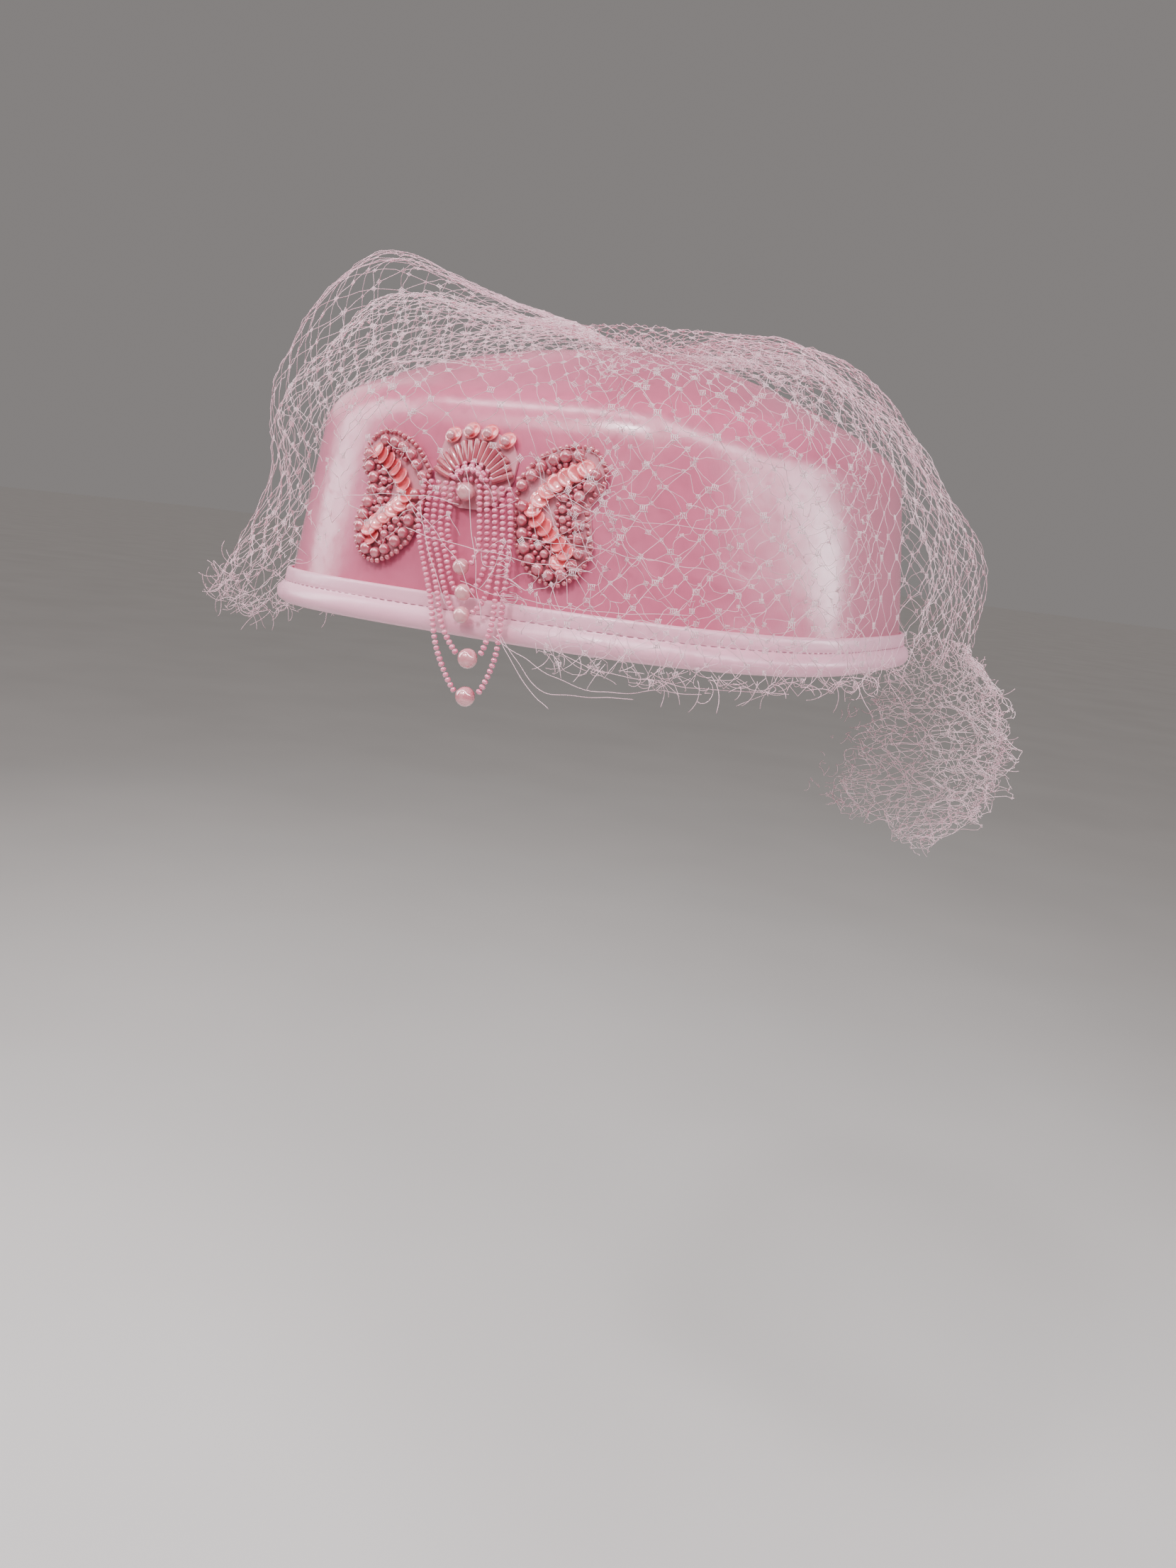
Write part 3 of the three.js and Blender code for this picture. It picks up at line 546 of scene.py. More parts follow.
# Rows of beads round each wing: inset from the edge, bead, size, pitch, share of the outline from and to
wingRows = table(
    "inset bead size pitch first last lift",
    (0.7, "seed", 1.5, 1.62, 0.0, 0.99, 0.4),
    (2.9, "pearl", 3.0, 3.35, 0.0, 0.93, 1.15),
    (4.9, "rose", 1.5, 1.6, 0.1, 0.87, 0.75),
    (6.4, "small", 2.1, 2.5, 0.12, 0.84, 1.0),
    (8.0, "rose", 1.5, 1.6, 0.15, 0.8, 0.75),
)
wingSequins = [
    (30.8, 43.6), (28.6, 42.4), (26.2, 41.2), (23.8, 39.6), (21.8, 37.6), (20.2, 35.4), (18.8, 33.0),
    (20.4, 30.6), (22.6, 29.0), (24.8, 27.4), (27.0, 25.6), (29.2, 23.8), (28.0, 21.4),
]
heartSequins = [(-7.8, 47.8), (-2.6, 49.2), (2.8, 49.0), (8.2, 47.4)]


def makeBacking(name, edge, side, node):
    # rings of points from the middle to the edge, on the front of the cloth and again on its back
    middle = [sum(p[k] for p in edge) / len(edge) for k in range(2)]
    rings = ornament["backingRings"]
    spots = [tuple(middle)]
    for r in range(1, rings + 1):
        share = ornament["backingShare"] * r / rings
        spots += [tuple(middle[k] + (p[k] - middle[k]) * share for k in range(2)) for p in edge]
    vertices = []
    for lift in (backingFront, ornament["backingBack"]):
        vertices += [frontWall(ornament["middle"] + side * a, h, lift) * mm for a, h in spots]
    count, total = len(edge), len(spots)
    last = 1 + (rings - 1) * count
    faces = []
    for i in range(count):
        j = (i + 1) % count
        faces.append((0, 1 + i, 1 + j))
        faces.append((total, total + 1 + j, total + 1 + i))
        for r in range(rings - 1):
            a, b = 1 + r * count, 1 + (r + 1) * count
            faces.append((a + i, b + i, b + j, a + j))
            faces.append((total + a + j, total + b + j, total + b + i, total + a + i))
        faces.append((last + i, total + last + i, total + last + j, last + j))
    piece = makeObject(name, vertices, faces, backingCloth)
    activate(piece)
    bpy.ops.object.mode_set(mode="EDIT")
    bpy.ops.mesh.select_all(action="SELECT")
    bpy.ops.mesh.normals_make_consistent(inside=False)
    bpy.ops.object.mode_set(mode="OBJECT")
    bpy.ops.object.shade_smooth_by_angle(angle=math.radians(40))
    finishPiece(piece, "pearl_beads", node)


def insetLine(edge, inset):
    # the outline moved inwards along its own normals
    line, _ = smoothLine([(*p, 0) for p in edge + [edge[0]]], 240)
    line = line[:, :2]
    tangent = np.gradient(line, axis=0)
    tangent /= np.linalg.norm(tangent, axis=1)[:, None]
    return line + np.stack([tangent[:, 1], -tangent[:, 0]], axis=1) * inset


def beadPlace(across, height, lift, size, turn, side):
    x = ornament["middle"] + side * across
    right, out, up = wallFrame(x, height)
    direction = right * math.cos(turn) * side + up * math.sin(turn)
    return (tuple(frontWall(x, height, backingFront + lift)), *axesAlong(direction, out, size, size, size))


def alongRow(line, pitch, first, last):
    # places along a line at equal pitch, with the line's direction there
    along = measured(line)
    spots = []
    at = along[-1] * first
    while at < along[-1] * last:
        a = [np.interp(at, along, line[:, k]) for k in range(2)]
        b = [np.interp(at + 0.3, along, line[:, k]) for k in range(2)]
        spots.append((*a, math.atan2(b[1] - a[1], b[0] - a[0])))
        at += pitch
    return spots


def makeWing(label, side, node, seedValue):
    rand = random.Random(seedValue)
    places = {"pearl": [], "small": [], "seed": [], "rose": []}
    size = ornament["sequin"]
    jitter = ornament["jitter"]
    for row in wingRows:
        line = insetLine(wingEdge, row["inset"])
        for across, height, turn in alongRow(line, row["pitch"], row["first"], row["last"]):
            # room for the sequins
            near = min(math.hypot(across - a, height - h) for a, h in wingSequins)
            if near < size * (0.46 if row["bead"] == "pearl" else 0.54):
                continue
            bead = row["size"] * rand.uniform(0.93, 1.06)
            across += rand.uniform(-jitter, jitter)
            height += rand.uniform(-jitter, jitter)
            lift = row["lift"] + rand.uniform(-0.1, 0.15)
            places[row["bead"]].append(beadPlace(across, height, lift, bead, turn, side))
    discs = []
    for n, (across, height) in enumerate(wingSequins):
        x = ornament["middle"] + side * across
        right, out, up = wallFrame(x, height)
        centre = frontWall(x, height, backingFront + ornament["sequinLift"] + 0.1 * (n % 2))
        ahead = wingSequins[min(n + 1, len(wingSequins) - 1)]
        back = wingSequins[max(n - 1, 0)]
        along = (right * side * (ahead[0] - back[0]) + up * (ahead[1] - back[1])).normalized()
        # each disc leans on the next, like tiles
        tilt = (out - along * rand.uniform(0.3, 0.42) + up * rand.uniform(-0.05, 0.2)).normalized()
        discs.append((tuple(centre), *axesAlong(tilt, up, size, size, size)))
    for name, kind, spots, material in (
        ("Pearls", "pearl", places["pearl"] + places["small"], pearlFinish),
        ("Seeds", "seed", places["seed"], pearlFinish),
        ("RoseSeeds", "seed", places["rose"], roseFinish),
        ("Sequins", "sequin", discs, sequinFinish),
    ):
        finishPiece(scatter(label + name, kind, spots, material), "pearl_beads", node)


# Centre: a fan of bugles, scallops of seeds under them, sequins along the top and a ring round one pearl
medallionLook = {
    "fanHeight": 36.0,
    "fanDegrees": 136,
    "fanRadius": 9.6,
    "bugles": 15,
    "bugleLength": 5.6,
    "bugle": 1.75,
    "bugleLift": 0.9,
    "scallops": 6,
    "scallopDegrees": 128,
    "scallopReach": 9.5,
    "scallopRadius": 6.6,
    "scallopDrop": 2.0,
    "scallopBeads": 7,
    "sequin": 4.6,
    "smallPearl": 2.4,
    "pearl": 4.7,
    "pearlHeight": 35.4,
    "ringBeads": 12,
    "ringBottom": 33.4,
}


def makeMedallion():
    rand = random.Random(7)
    m = medallionLook
    bugles, seeds, pearls, discs = [], [], [], []

    def inFan(turn, radius, lift):
        # a place on the fan, with the directions of the wall there
        x = ornament["middle"] + radius * math.cos(turn)
        height = m["fanHeight"] + radius * math.sin(turn)
        return frontWall(x, height, backingFront + lift), *wallFrame(x, height)

    for i in range(m["bugles"]):
        turn = math.radians(90 + m["fanDegrees"] * (i / (m["bugles"] - 1) - 0.5))
        centre, right, out, up = inFan(turn, m["fanRadius"] + rand.uniform(-0.3, 0.3), m["bugleLift"])
        direction = right * math.cos(turn) + up * math.sin(turn)
        bugles.append((tuple(centre), *axesAlong(direction, out, m["bugle"], m["bugle"], m["bugleLength"])))
    for n in range(m["scallops"]):
        middle = math.radians(90 + m["scallopDegrees"] * ((n + 0.5) / m["scallops"] - 0.5))
        for k in range(m["scallopBeads"]):
            swing = math.pi * k / (m["scallopBeads"] - 1)
            turn = middle + math.radians(m["scallopReach"]) * math.cos(swing)
            radius = m["scallopRadius"] - m["scallopDrop"] * math.sin(swing)
            lift = 1.3 + 1.0 * math.sin(swing) + rand.uniform(-0.15, 0.15)
            centre, right, out, up = inFan(turn, radius, lift)
            direction = right * math.sin(turn) + up * math.cos(turn)
            seeds.append((tuple(centre), *axesAlong(direction, out, 1.45, 1.45, 1.3)))
    for across, height in heartSequins:
        x = ornament["middle"] + across
        right, out, up = wallFrame(x, height)
        disc, pearl = frontWall(x, height + 1.2, 1.5), frontWall(x, height + 1.0, 2.7)
        discs.append((tuple(disc), *axesAlong(out + up * 0.35, up, *[m["sequin"]] * 3)))
        pearls.append((tuple(pearl), *axesAlong(up, out, *[m["smallPearl"]] * 3)))
    right, out, up = wallFrame(ornament["middle"], m["fanHeight"])
    centre = frontWall(ornament["middle"] - 0.2, m["pearlHeight"], backingFront + 2.4)
    pearls.append((tuple(centre), *axesAlong(right, out, *[m["pearl"]] * 3)))
    for i in range(m["ringBeads"]):
        turn = 2 * math.pi * i / m["ringBeads"]
        x = ornament["middle"] + 3.6 * math.cos(turn)
        height = m["pearlHeight"] - 0.2 + 3.4 * math.sin(turn)
        # the ring is left open at its foot
        if height < m["ringBottom"]:
            continue
        right, out, up = wallFrame(x, height)
        direction = right * math.sin(turn) - up * math.cos(turn)
        seeds.append((tuple(frontWall(x, height, 2.0)), *axesAlong(direction, out, 1.6, 1.6, 1.4)))
    for name, kind, spots, material in (
        ("medallionBugles", "bugle", bugles, bugleFinish),
        ("medallionSeeds", "seed", seeds, seedFinish),
        ("medallionPearls", "pearl", pearls, bigPearlFinish),
        ("medallionSequins", "sequin", discs, sequinFinish),
    ):
        finishPiece(scatter(name, kind, spots, material), "pearl_beads", "medallion")


# Loops: across at the top, the waist and two side points, then the place and size of the pearl
loopRows = table(
    "topLeft topRight waistLeft waistRight high highLeft highRight low lowLeft lowRight across height pearl",
    (-13.2, 12.0, -12.2, 14.9, 10, -4.8, 16.6, -4, 0.3, 16.8, 10.2, -13.7, 5.0),
    (-11.0, 9.8, -9.9, 12.7, 12, -3.3, 14.2, 2.5, 0.6, 14.4, 9.6, -4.4, 5.0),
    (-8.8, 7.6, -7.7, 10.5, 17, -3.4, 11.7, 10, 0.3, 11.1, 5.9, 5.8, 4.2),
    (-6.6, 5.4, -5.5, 8.3, 19, -2.0, 9.4, 14.8, 0.0, 8.9, 5.1, 11.2, 4.2),
    (-4.6, 3.3, -3.3, 6.1, 23, -1.9, 6.7, 20, 0.1, 6.1, 3.0, 17.2, 4.2),
)
loopLift = table(
    "height lift",
    (-20, 6.2),
    (6, 5.4),
    (20, 4.6),
    (30, 3.9),
    (40, 3.2),
)
loopLook = {"top": 37.0, "waist": 26.0, "seed": 1.62, "pitch": 1.42, "pearlForward": 0.4}


def loopSpot(across, height, extra=0.0):
    return frontWall(across, height, readTable(loopLift, "height", "lift", height) + extra)


def makeLoop(row, number):
    rand = random.Random(40 + number)
    half = row["pearl"] / 2
    forward = loopLook["pearlForward"]
    points = [
        loopSpot(row["topLeft"], loopLook["top"]),
        loopSpot(row["waistLeft"], loopLook["waist"]),
        loopSpot(row["highLeft"], row["high"]),
        loopSpot(row["lowLeft"], row["low"]),
        loopSpot(row["across"] - half, row["height"] + 0.2, forward),
        loopSpot(row["across"], row["height"], forward),
        loopSpot(row["across"] + half, row["height"] + 0.2, forward),
        loopSpot(row["lowRight"], row["low"]),
        loopSpot(row["highRight"], row["high"]),
        loopSpot(row["waistRight"], loopLook["waist"]),
        loopSpot(row["topRight"], loopLook["top"]),
    ]
    _, length = smoothLine(points, 10)
    count = int(length / loopLook["pitch"])
    line, _ = smoothLine(points, count)
    pearlAt = points[5]
    places = []
    for i in range(count):
        here = Vector(line[i])
        # the string runs through the pearl
        if (here - pearlAt).length < half + 0.6:
            continue
        direction = Vector(line[min(i + 1, count - 1)]) - Vector(line[max(i - 1, 0)])
        size = loopLook["seed"] * rand.uniform(0.94, 1.03)
        places.append((tuple(here), *axesAlong(direction, (0, -1, 0), size, size, size * 0.86)))
    node = f"bead_loop_{number}"
    finishPiece(scatter(f"loop{number}Seeds", "seed", places, seedFinish), "seed_beads", node)
    size = row["pearl"]
    pearl = [(tuple(pearlAt), (size, 0, 0), (0, size, 0), (0, 0, size))]
    finishPiece(scatter(f"loop{number}Pearl", "pearl", pearl, bigPearlFinish), "seed_beads", node)


# Net: sections round the hat, a row per direction in degrees from +X towards +Y. The crest is given as
# shares of the crown's outline and height, the distances off the rim as shares of "fullness" and the
# hem's height as a share of "hemRise". Tail rows go down from its top, as shares of "tailLength".
veilSections = table(
    "turn crestShare crest shoulder side hem hemHeight",
    (0, 0.66, 1.046, -0.08, 0.56, 0.64, 0.2),
    (26, 0.66, 1.07, -0.08, 0.8, 0.84, 0.45),
    (50, 0.66, 1.07, -0.08, 0.72, 0.72, 0.45),
    (90, 0.66, 1.058, 0, 0.56, 0.56, 0.3),
    (135, 0.68, 1.13, 0.16, 0.56, 0.64, 0.2),
    (175, 0.8, 1.216, 0.26, 0.4, 0.88, -0.2),
    (205, 0.88, 1.24, 0.2, 0.3, 0.96, -0.4),
    (228, 0.82, 1.156, 0.18, 0.26, 0.74, 0.2),
    (246, 0.7, 1.022, 0.08, 0.24, 0.28, 0.75),
    (262, 0.66, 0.973, 0.04, 0.22, 0.24, 1.05),
    (276, 0.66, 0.961, 0.04, 0.22, 0.26, 1.0),
    (292, 0.66, 0.961, 0, 0.2, 0.34, -0.15),
    (320, 0.66, 0.985, -0.04, 0.2, 0.36, -0.15),
    (345, 0.66, 1.022, -0.04, 0.4, 0.52, 0),
    (360, 0.66, 1.046, -0.08, 0.56, 0.64, 0.2),
)
tailSections = table(
    "drop startTurn endTurn startOff endOff",
    (0, 16, 50, 0.844, 0.672),
    (0.22, 15, 52, 1.32, 0.56),
    (0.49, 16, 54, 1.48, 0.48),
    (0.7, 18, 55, 1.36, 0.36),
    (1, 24, 56, 0.72, 0.16),
)
netLook = {
    "strand": 0.17,
    "gatherRadius": 2,
    "gatherHeight": 83.0,
    "shoulderHeight": 62,
    "sideHeight": 32,
    "fullness": 25,
    "hemRise": 20,
    "tailTop": 8.55,
    "tailLength": 66.5,
    "leftOverOrnament": 0.35,
}


# Room that the net leaves over what it passes, on the front of the hat from one place across to another
netRoom = table(
    "left right bottom top room",
    (-42, 42, 8, 56, 4.6),
    (-17, 20, -99, 30, 9.0),
)
bandRoom = {"top": 12, "room": 3.9}
crownRoom = 0.8
tornNet = {"left": -52, "right": 30, "top": 52}


def clearance(x, y, z):
    room = bandRoom["room"] if z < bandRoom["top"] else crownRoom
    for row in netRoom:
        if y < 0 and row["left"] < x < row["right"] and row["bottom"] < z < row["top"]:
            room = max(room, row["room"])
    return room


def crownTop(inset):
    # height of the crown's outside above a point this far in from the widest outline
    end = math.radians(crownSize["shoulderEndDegrees"])
    edgeInset = shoulderCentre - crownSize["shoulderRadius"] * math.cos(end)
    edgeHeight = wallTop + crownSize["shoulderRadius"] * math.sin(end)
    if inset >= edgeInset:
        share = (meanHalf - inset) / (meanHalf - edgeInset)
        return edgeHeight + (crownSize["height"] - edgeHeight) * (1 - share * share)
    drop = min(max((shoulderCentre - inset) / crownSize["shoulderRadius"], -1), 1)
    return wallTop + crownSize["shoulderRadius"] * math.sqrt(1 - drop * drop)


def keepOff(p):
    # a point moved out, or up over the top, until it is clear of what lies under the net
    x, y, z = p
    turn, reach = math.atan2(y, x), math.hypot(x, y)
    if z < wallTop + crownSize["shoulderRadius"] * 0.7:
        scale = (meanHalf - wallInset(max(z, 0))) / meanHalf
        least = planReach(turn) * scale + clearance(x, y, z)
        return (x * least / reach, y * least / reach, z) if reach < least else p
    least = crownTop(meanHalf - meanHalf * reach / planReach(turn)) + 0.9
    return (x, y, max(z, least))


def tornAway(spot, rand):
    # the front of the net is torn open over the beads, where only a few strands are left
    x, y, z = spot
    over = y < 0 and tornNet["left"] < x < tornNet["right"] and z < tornNet["top"]
    return over and rand.rand() > netLook["leftOverOrnament"]


def surfaceGrid(point, columns, rows):
    grid = np.zeros((columns + 1, rows + 1, 3))
    for i in range(columns + 1):
        for j, p in enumerate(point(i / columns, rows)):
            grid[i, j] = p
    return grid


def sampleGrid(grid, u, v):
    columns, rows = grid.shape[0] - 1, grid.shape[1] - 1
    a = np.clip(u, 0, 1) * columns
    b = np.clip(v, 0, 1) * rows
    i = np.minimum(a.astype(int), columns - 1)
    j = np.minimum(b.astype(int), rows - 1)
    fu, fv = (a - i)[..., None], (b - j)[..., None]
    return (grid[i, j] * (1 - fu) * (1 - fv) + grid[i + 1, j] * fu * (1 - fv)
            + grid[i, j + 1] * (1 - fu) * fv + grid[i + 1, j + 1] * fu * fv)


# How a layer of the veil differs from the plain surface, in millimetres unless it is a share or a count
plainLayer = {"crest": 0, "crestShare": 1, "in": 0, "hem": 0, "flute": 1.6, "flutes": 11, "phase": 0,
              "crumple": 3.0, "grain": 30}


def veilColumn(changes, first, last):
    # a surface function: the points down one column of the veil
    look = {**plainLayer, **changes}

    def column(u, rows):
        degrees = first + (last - first) * u
        turn = math.radians(degrees)
        reach = planReach(turn)
        row = {name: readTable(veilSections, "turn", name, degrees % 360) for name in veilSections[0]}
        gather = netLook["gatherHeight"]
        crest = row["crest"] * crownSize["height"]
        crestReach = reach * row["crestShare"]
        full = netLook["fullness"]
        points = [
            (netLook["gatherRadius"], 0, gather),
            (crestReach * 0.55, 0, gather + 1.5 - look["crest"] * 0.4 + 0.62 * (crest - gather)),
            (crestReach * look["crestShare"], 0, crest - look["crest"]),
            (reach + row["shoulder"] * full - look["in"], 0, netLook["shoulderHeight"]),
            (reach + row["side"] * full - look["in"], 0, netLook["sideHeight"]),
            (reach + row["hem"] * full - look["in"], 0, row["hemHeight"] * netLook["hemRise"] + look["hem"]),
        ]
        line, _ = smoothLine(points, rows + 1)
        for j, (r, _, z) in enumerate(line):
            v = j / rows
            # flutes run down the net and grow towards the hem
            flute = look["flute"] * math.sin(look["flutes"] * turn + look["phase"] + 2.0 * v)
            r = r + flute * min(1, 0.25 + v)
            x, y = r * math.cos(turn), r * math.sin(turn)
            shift = noise.noise_vector(Vector((x, y, z)) / look["grain"] + Vector((look["phase"], 5, 0)))
            push = look["crumple"]
            yield keepOff((x + push * shift.x, y + push * shift.y, z + push * 0.8 * shift.z))
    return column


def tailColumn(phase, spread):
    def column(u, rows):
        for j in range(rows + 1):
            v = j / rows
            row = {name: readTable(tailSections, "drop", name, v) for name in tailSections[0]}
            turn = math.radians(row["startTurn"] + (row["endTurn"] - row["startTurn"]) * u)
            off = netLook["fullness"] * (row["startOff"] + (row["endOff"] - row["startOff"]) * u)
            # the net hangs in flat folds, one below the other
            fold = spread * math.sin(2 * math.pi * (4.5 * v + 0.6 * u) + phase)
            pleat = 3.0 * min(v * 2, 1) * math.sin(2 * math.pi * 3 * u + phase)
            reach = planReach(turn) + off + pleat + fold * min(1, v * 3)
            height = netLook["tailTop"] - netLook["tailLength"] * v
            p = Vector((reach * math.cos(turn), reach * math.sin(turn), height))
            shift = noise.noise_vector(p / 18 + Vector((phase, 0, 0)))
            p += Vector((shift.x * 4, shift.y * 4, shift.z * 3.5)) * min(1, v * 2.5)
            yield keepOff(tuple(p))
    return column


def unit(rows, axis):
    # each row of an array at length 1
    return rows / (np.linalg.norm(rows, axis=axis, keepdims=True) + 1e-9)


def netPiece(name, grid, columns, rows, node, seedValue, look):
    # diamond net laid over a surface grid: strands from every knot down to the two below it
    rand = np.random.RandomState(seedValue)
    jitter = look["jitter"]
    ju = rand.uniform(-jitter, jitter, (columns + 1, rows + 1))
    jv = rand.uniform(-jitter, jitter, (columns + 1, rows + 1))
    if look.get("joined"):
        # knots on the border are where the next piece of the same net has them
        ju[0], ju[columns], jv[0], jv[columns] = 0, 0, 0, 0

    def knotAt(i, j):
        return ((i + ju[i, j]) / columns, min(max((j + (jv[i, j] if 0 < j < rows else 0)) / rows, 0), 1))

    def spotAt(u, v):
        return sampleGrid(grid, np.array([min(u, 1)]), np.array([min(v, 1)]))[0]

    starts, ends = [], []
    for j in range(rows):
        for i in range(j % 2, columns + 1, 2):
            for k in (i - 1, i + 1):
                if k < 0 or k > columns:
                    continue
                start = knotAt(i, j)
                if tornAway(spotAt(*start), rand):
                    continue
                starts.append(start)
                ends.append(knotAt(k, j + 1))
    starts, ends = np.array(starts), np.array(ends)
    steps = look.get("steps", 3)
    share = np.linspace(0, 1, steps + 1)[None, :, None]
    uv = starts[:, None, :] * (1 - share) + ends[:, None, :] * share
    path = sampleGrid(grid, uv[..., 0], uv[..., 1])
    # slack strands bow once and sway once between their knots
    path = path + rand.normal(0, look["slack"], (len(path), 1, 3)) * np.sin(np.pi * share)
    path = path + rand.normal(0, look["slack"] * 0.45, (len(path), 1, 3)) * np.sin(2 * np.pi * share)
    sides = 3
    tangent = unit(np.gradient(path, axis=1), 2)
    across = unit(np.cross(tangent, unit(path, 2)), 2)
    outward = np.cross(across, tangent)
    rings = []
    for s in range(sides):
        turn = 2 * math.pi * s / sides
        rings.append(path + look["strand"] / 2 * (math.cos(turn) * across + math.sin(turn) * outward))
    vertices = list(map(tuple, np.stack(rings, axis=2).reshape(-1, 3) * mm))
    faces = []
    for n in range(len(path)):
        base = n * (steps + 1) * sides
        for k in range(steps):
            a = base + k * sides
            for s in range(sides):
                t = (s + 1) % sides
                faces.append((a + s, a + t, a + sides + t, a + sides + s))
        end = base + steps * sides
        faces += [(base + 2, base + 1, base), (end, end + 1, end + 2)]
    strandFaces = len(faces)
    for j in range(rows + 1):
        for i in range(j % 2, columns + 1, 2):
            if j < look.get("firstKnot", 3) or rand.rand() > look.get("knots", 1):
                continue
            u, v = knotAt(i, j)
            centre = spotAt(u, v)
            if tornAway(centre, rand):
                continue
            ax = Vector(spotAt(u + 0.004, v) - centre)
            az = Vector(spotAt(u, v + 0.01) - centre)
            if ax.length < 1e-4 or az.length < 1e-4:
                continue
            ax.normalize()
            az = (az.normalized() - ax * az.normalized().dot(ax)).normalized()
            size = look["knot"] * rand.uniform(0.6, 1.25)
            addShape("knot", centre, (ax * size, ax.cross(az) * size, az * size * 0.85), vertices, faces)
    piece = makeObject(name, vertices, faces, netFinish)
    piece.data.materials.append(knotFinish)
    # knots are paler than the strands, and so is the whole of a pale layer
    paint = np.ones(len(faces), dtype=np.int32)
    if not look.get("pale"):
        paint[:strandFaces] = 0
    piece.data.polygons.foreach_set("material_index", paint)
    finishPiece(piece, "veil_net", node)


# Layers of the net: strand width, knot size, how far knots are off their places, slack of the strands
layers = {
    "veil": {"strand": 0.16, "knot": 1.7, "jitter": 0.16, "slack": 0.3, "joined": True},
    "fold": {"strand": 0.17, "knot": 1.6, "jitter": 0.26, "slack": 0.45, "firstKnot": 6, "pale": True},
    "crumple": {"strand": 0.14, "knot": 1.5, "jitter": 0.45, "slack": 0.9, "steps": 4, "knots": 0.8},
    "tail": {"strand": 0.22, "knot": 1.25, "jitter": 0.34, "slack": 0.75, "steps": 4, "pale": True},
}


# Pieces of the veil: directions from and to, knots across and down, and how the surface differs
veilLayers = [
    {"name": "veilNetBack", "from": 0, "to": 180, "across": 68, "down": 30, "seed": 3, "look": "veil",
     "changes": {"flute": 1.4}},
    {"name": "veilNetFront", "from": 180, "to": 360, "across": 68, "down": 30, "seed": 4, "look": "veil",
     "changes": {"flute": 1.4}},
    # second layer of the same net where it doubles over at the wearer's right and over the top
    {"name": "veilFold", "from": 112, "to": 262, "across": 72, "down": 40, "seed": 11, "look": "fold",
     "changes": {"crest": 9, "crestShare": 0.9, "in": 3.5, "hem": 2, "flute": 2.4, "phase": 1.7,
                 "crumple": 6}},
    # the net turned under at the wearer's left
    {"name": "veilUnder", "from": -4, "to": 118, "across": 50, "down": 32, "seed": 13, "look": "fold",
     "changes": {"crest": 5, "in": 3.0, "flute": 2.0, "phase": 2.6, "crumple": 5, "hem": 3}, "grid": 90},
    # and crumpled together low on the front, below the grid row "start"
    {"name": "veilCrumple", "from": 284, "to": 338, "across": 32, "down": 36, "seed": 17, "look": "crumple",
     "changes": {"crest": 2, "in": 1.0, "flute": 1.2, "flutes": 30, "phase": 4.0, "crumple": 5, "grain": 14},
     "grid": 60, "start": 18},
]
# Folds of the tail, each with its phase and how far it spreads
tailFolds = [(0.0, 3.0), (1.9, 5.0), (3.9, 3.5)]


def makeNets():
    for row in veilLayers:
        column = veilColumn(row["changes"], row["from"], row["to"])
        grid = surfaceGrid(column, row.get("grid", 110), 48)[:, row.get("start", 0):]
        netPiece(row["name"], grid, row["across"], row["down"], "veil", row["seed"], layers[row["look"]])
    for n, (phase, spread) in enumerate(tailFolds):
        grid = surfaceGrid(tailColumn(phase, spread), 60, 40)
        netPiece(f"veilTail{n + 1}", grid, 18, 26, "veil_tail", 23 + n, layers["tail"])


def tubeAlong(line, radius, vertices, faces):
    # a thin three-sided tube with closed ends
    start = len(vertices)
    for i in range(len(line)):
        along = Vector(line[min(i + 1, len(line) - 1)]) - Vector(line[max(i - 1, 0)])
        side = along.cross(Vector((0.1, 1, 0.05))).normalized()
        other = along.cross(side).normalized()
        for k in range(3):
            turn = 2 * math.pi * k / 3
            out = side * math.cos(turn) + other * math.sin(turn)
            vertices.append(tuple((Vector(line[i]) + out * radius) * mm))
    for i in range(len(line) - 1):
        for k in range(3):
            a, b = start + i * 3 + k, start + i * 3 + (k + 1) % 3
            faces.append((a, b, b + 3, a + 3))
    end = start + (len(line) - 1) * 3
    faces += [(start + 2, start + 1, start), (end, end + 1, end + 2)]


# Frayed ends along the hem: stretches of the hem by direction, how many ends and how far they stray inwards
frayRows = table(
    "first last count length spread",
    (176, 238, 150, 9, 7),
    (276, 348, 140, 9, 3),
)
frayTail = {"count": 260, "in": 1.5, "shortest": 3, "longest": 7}


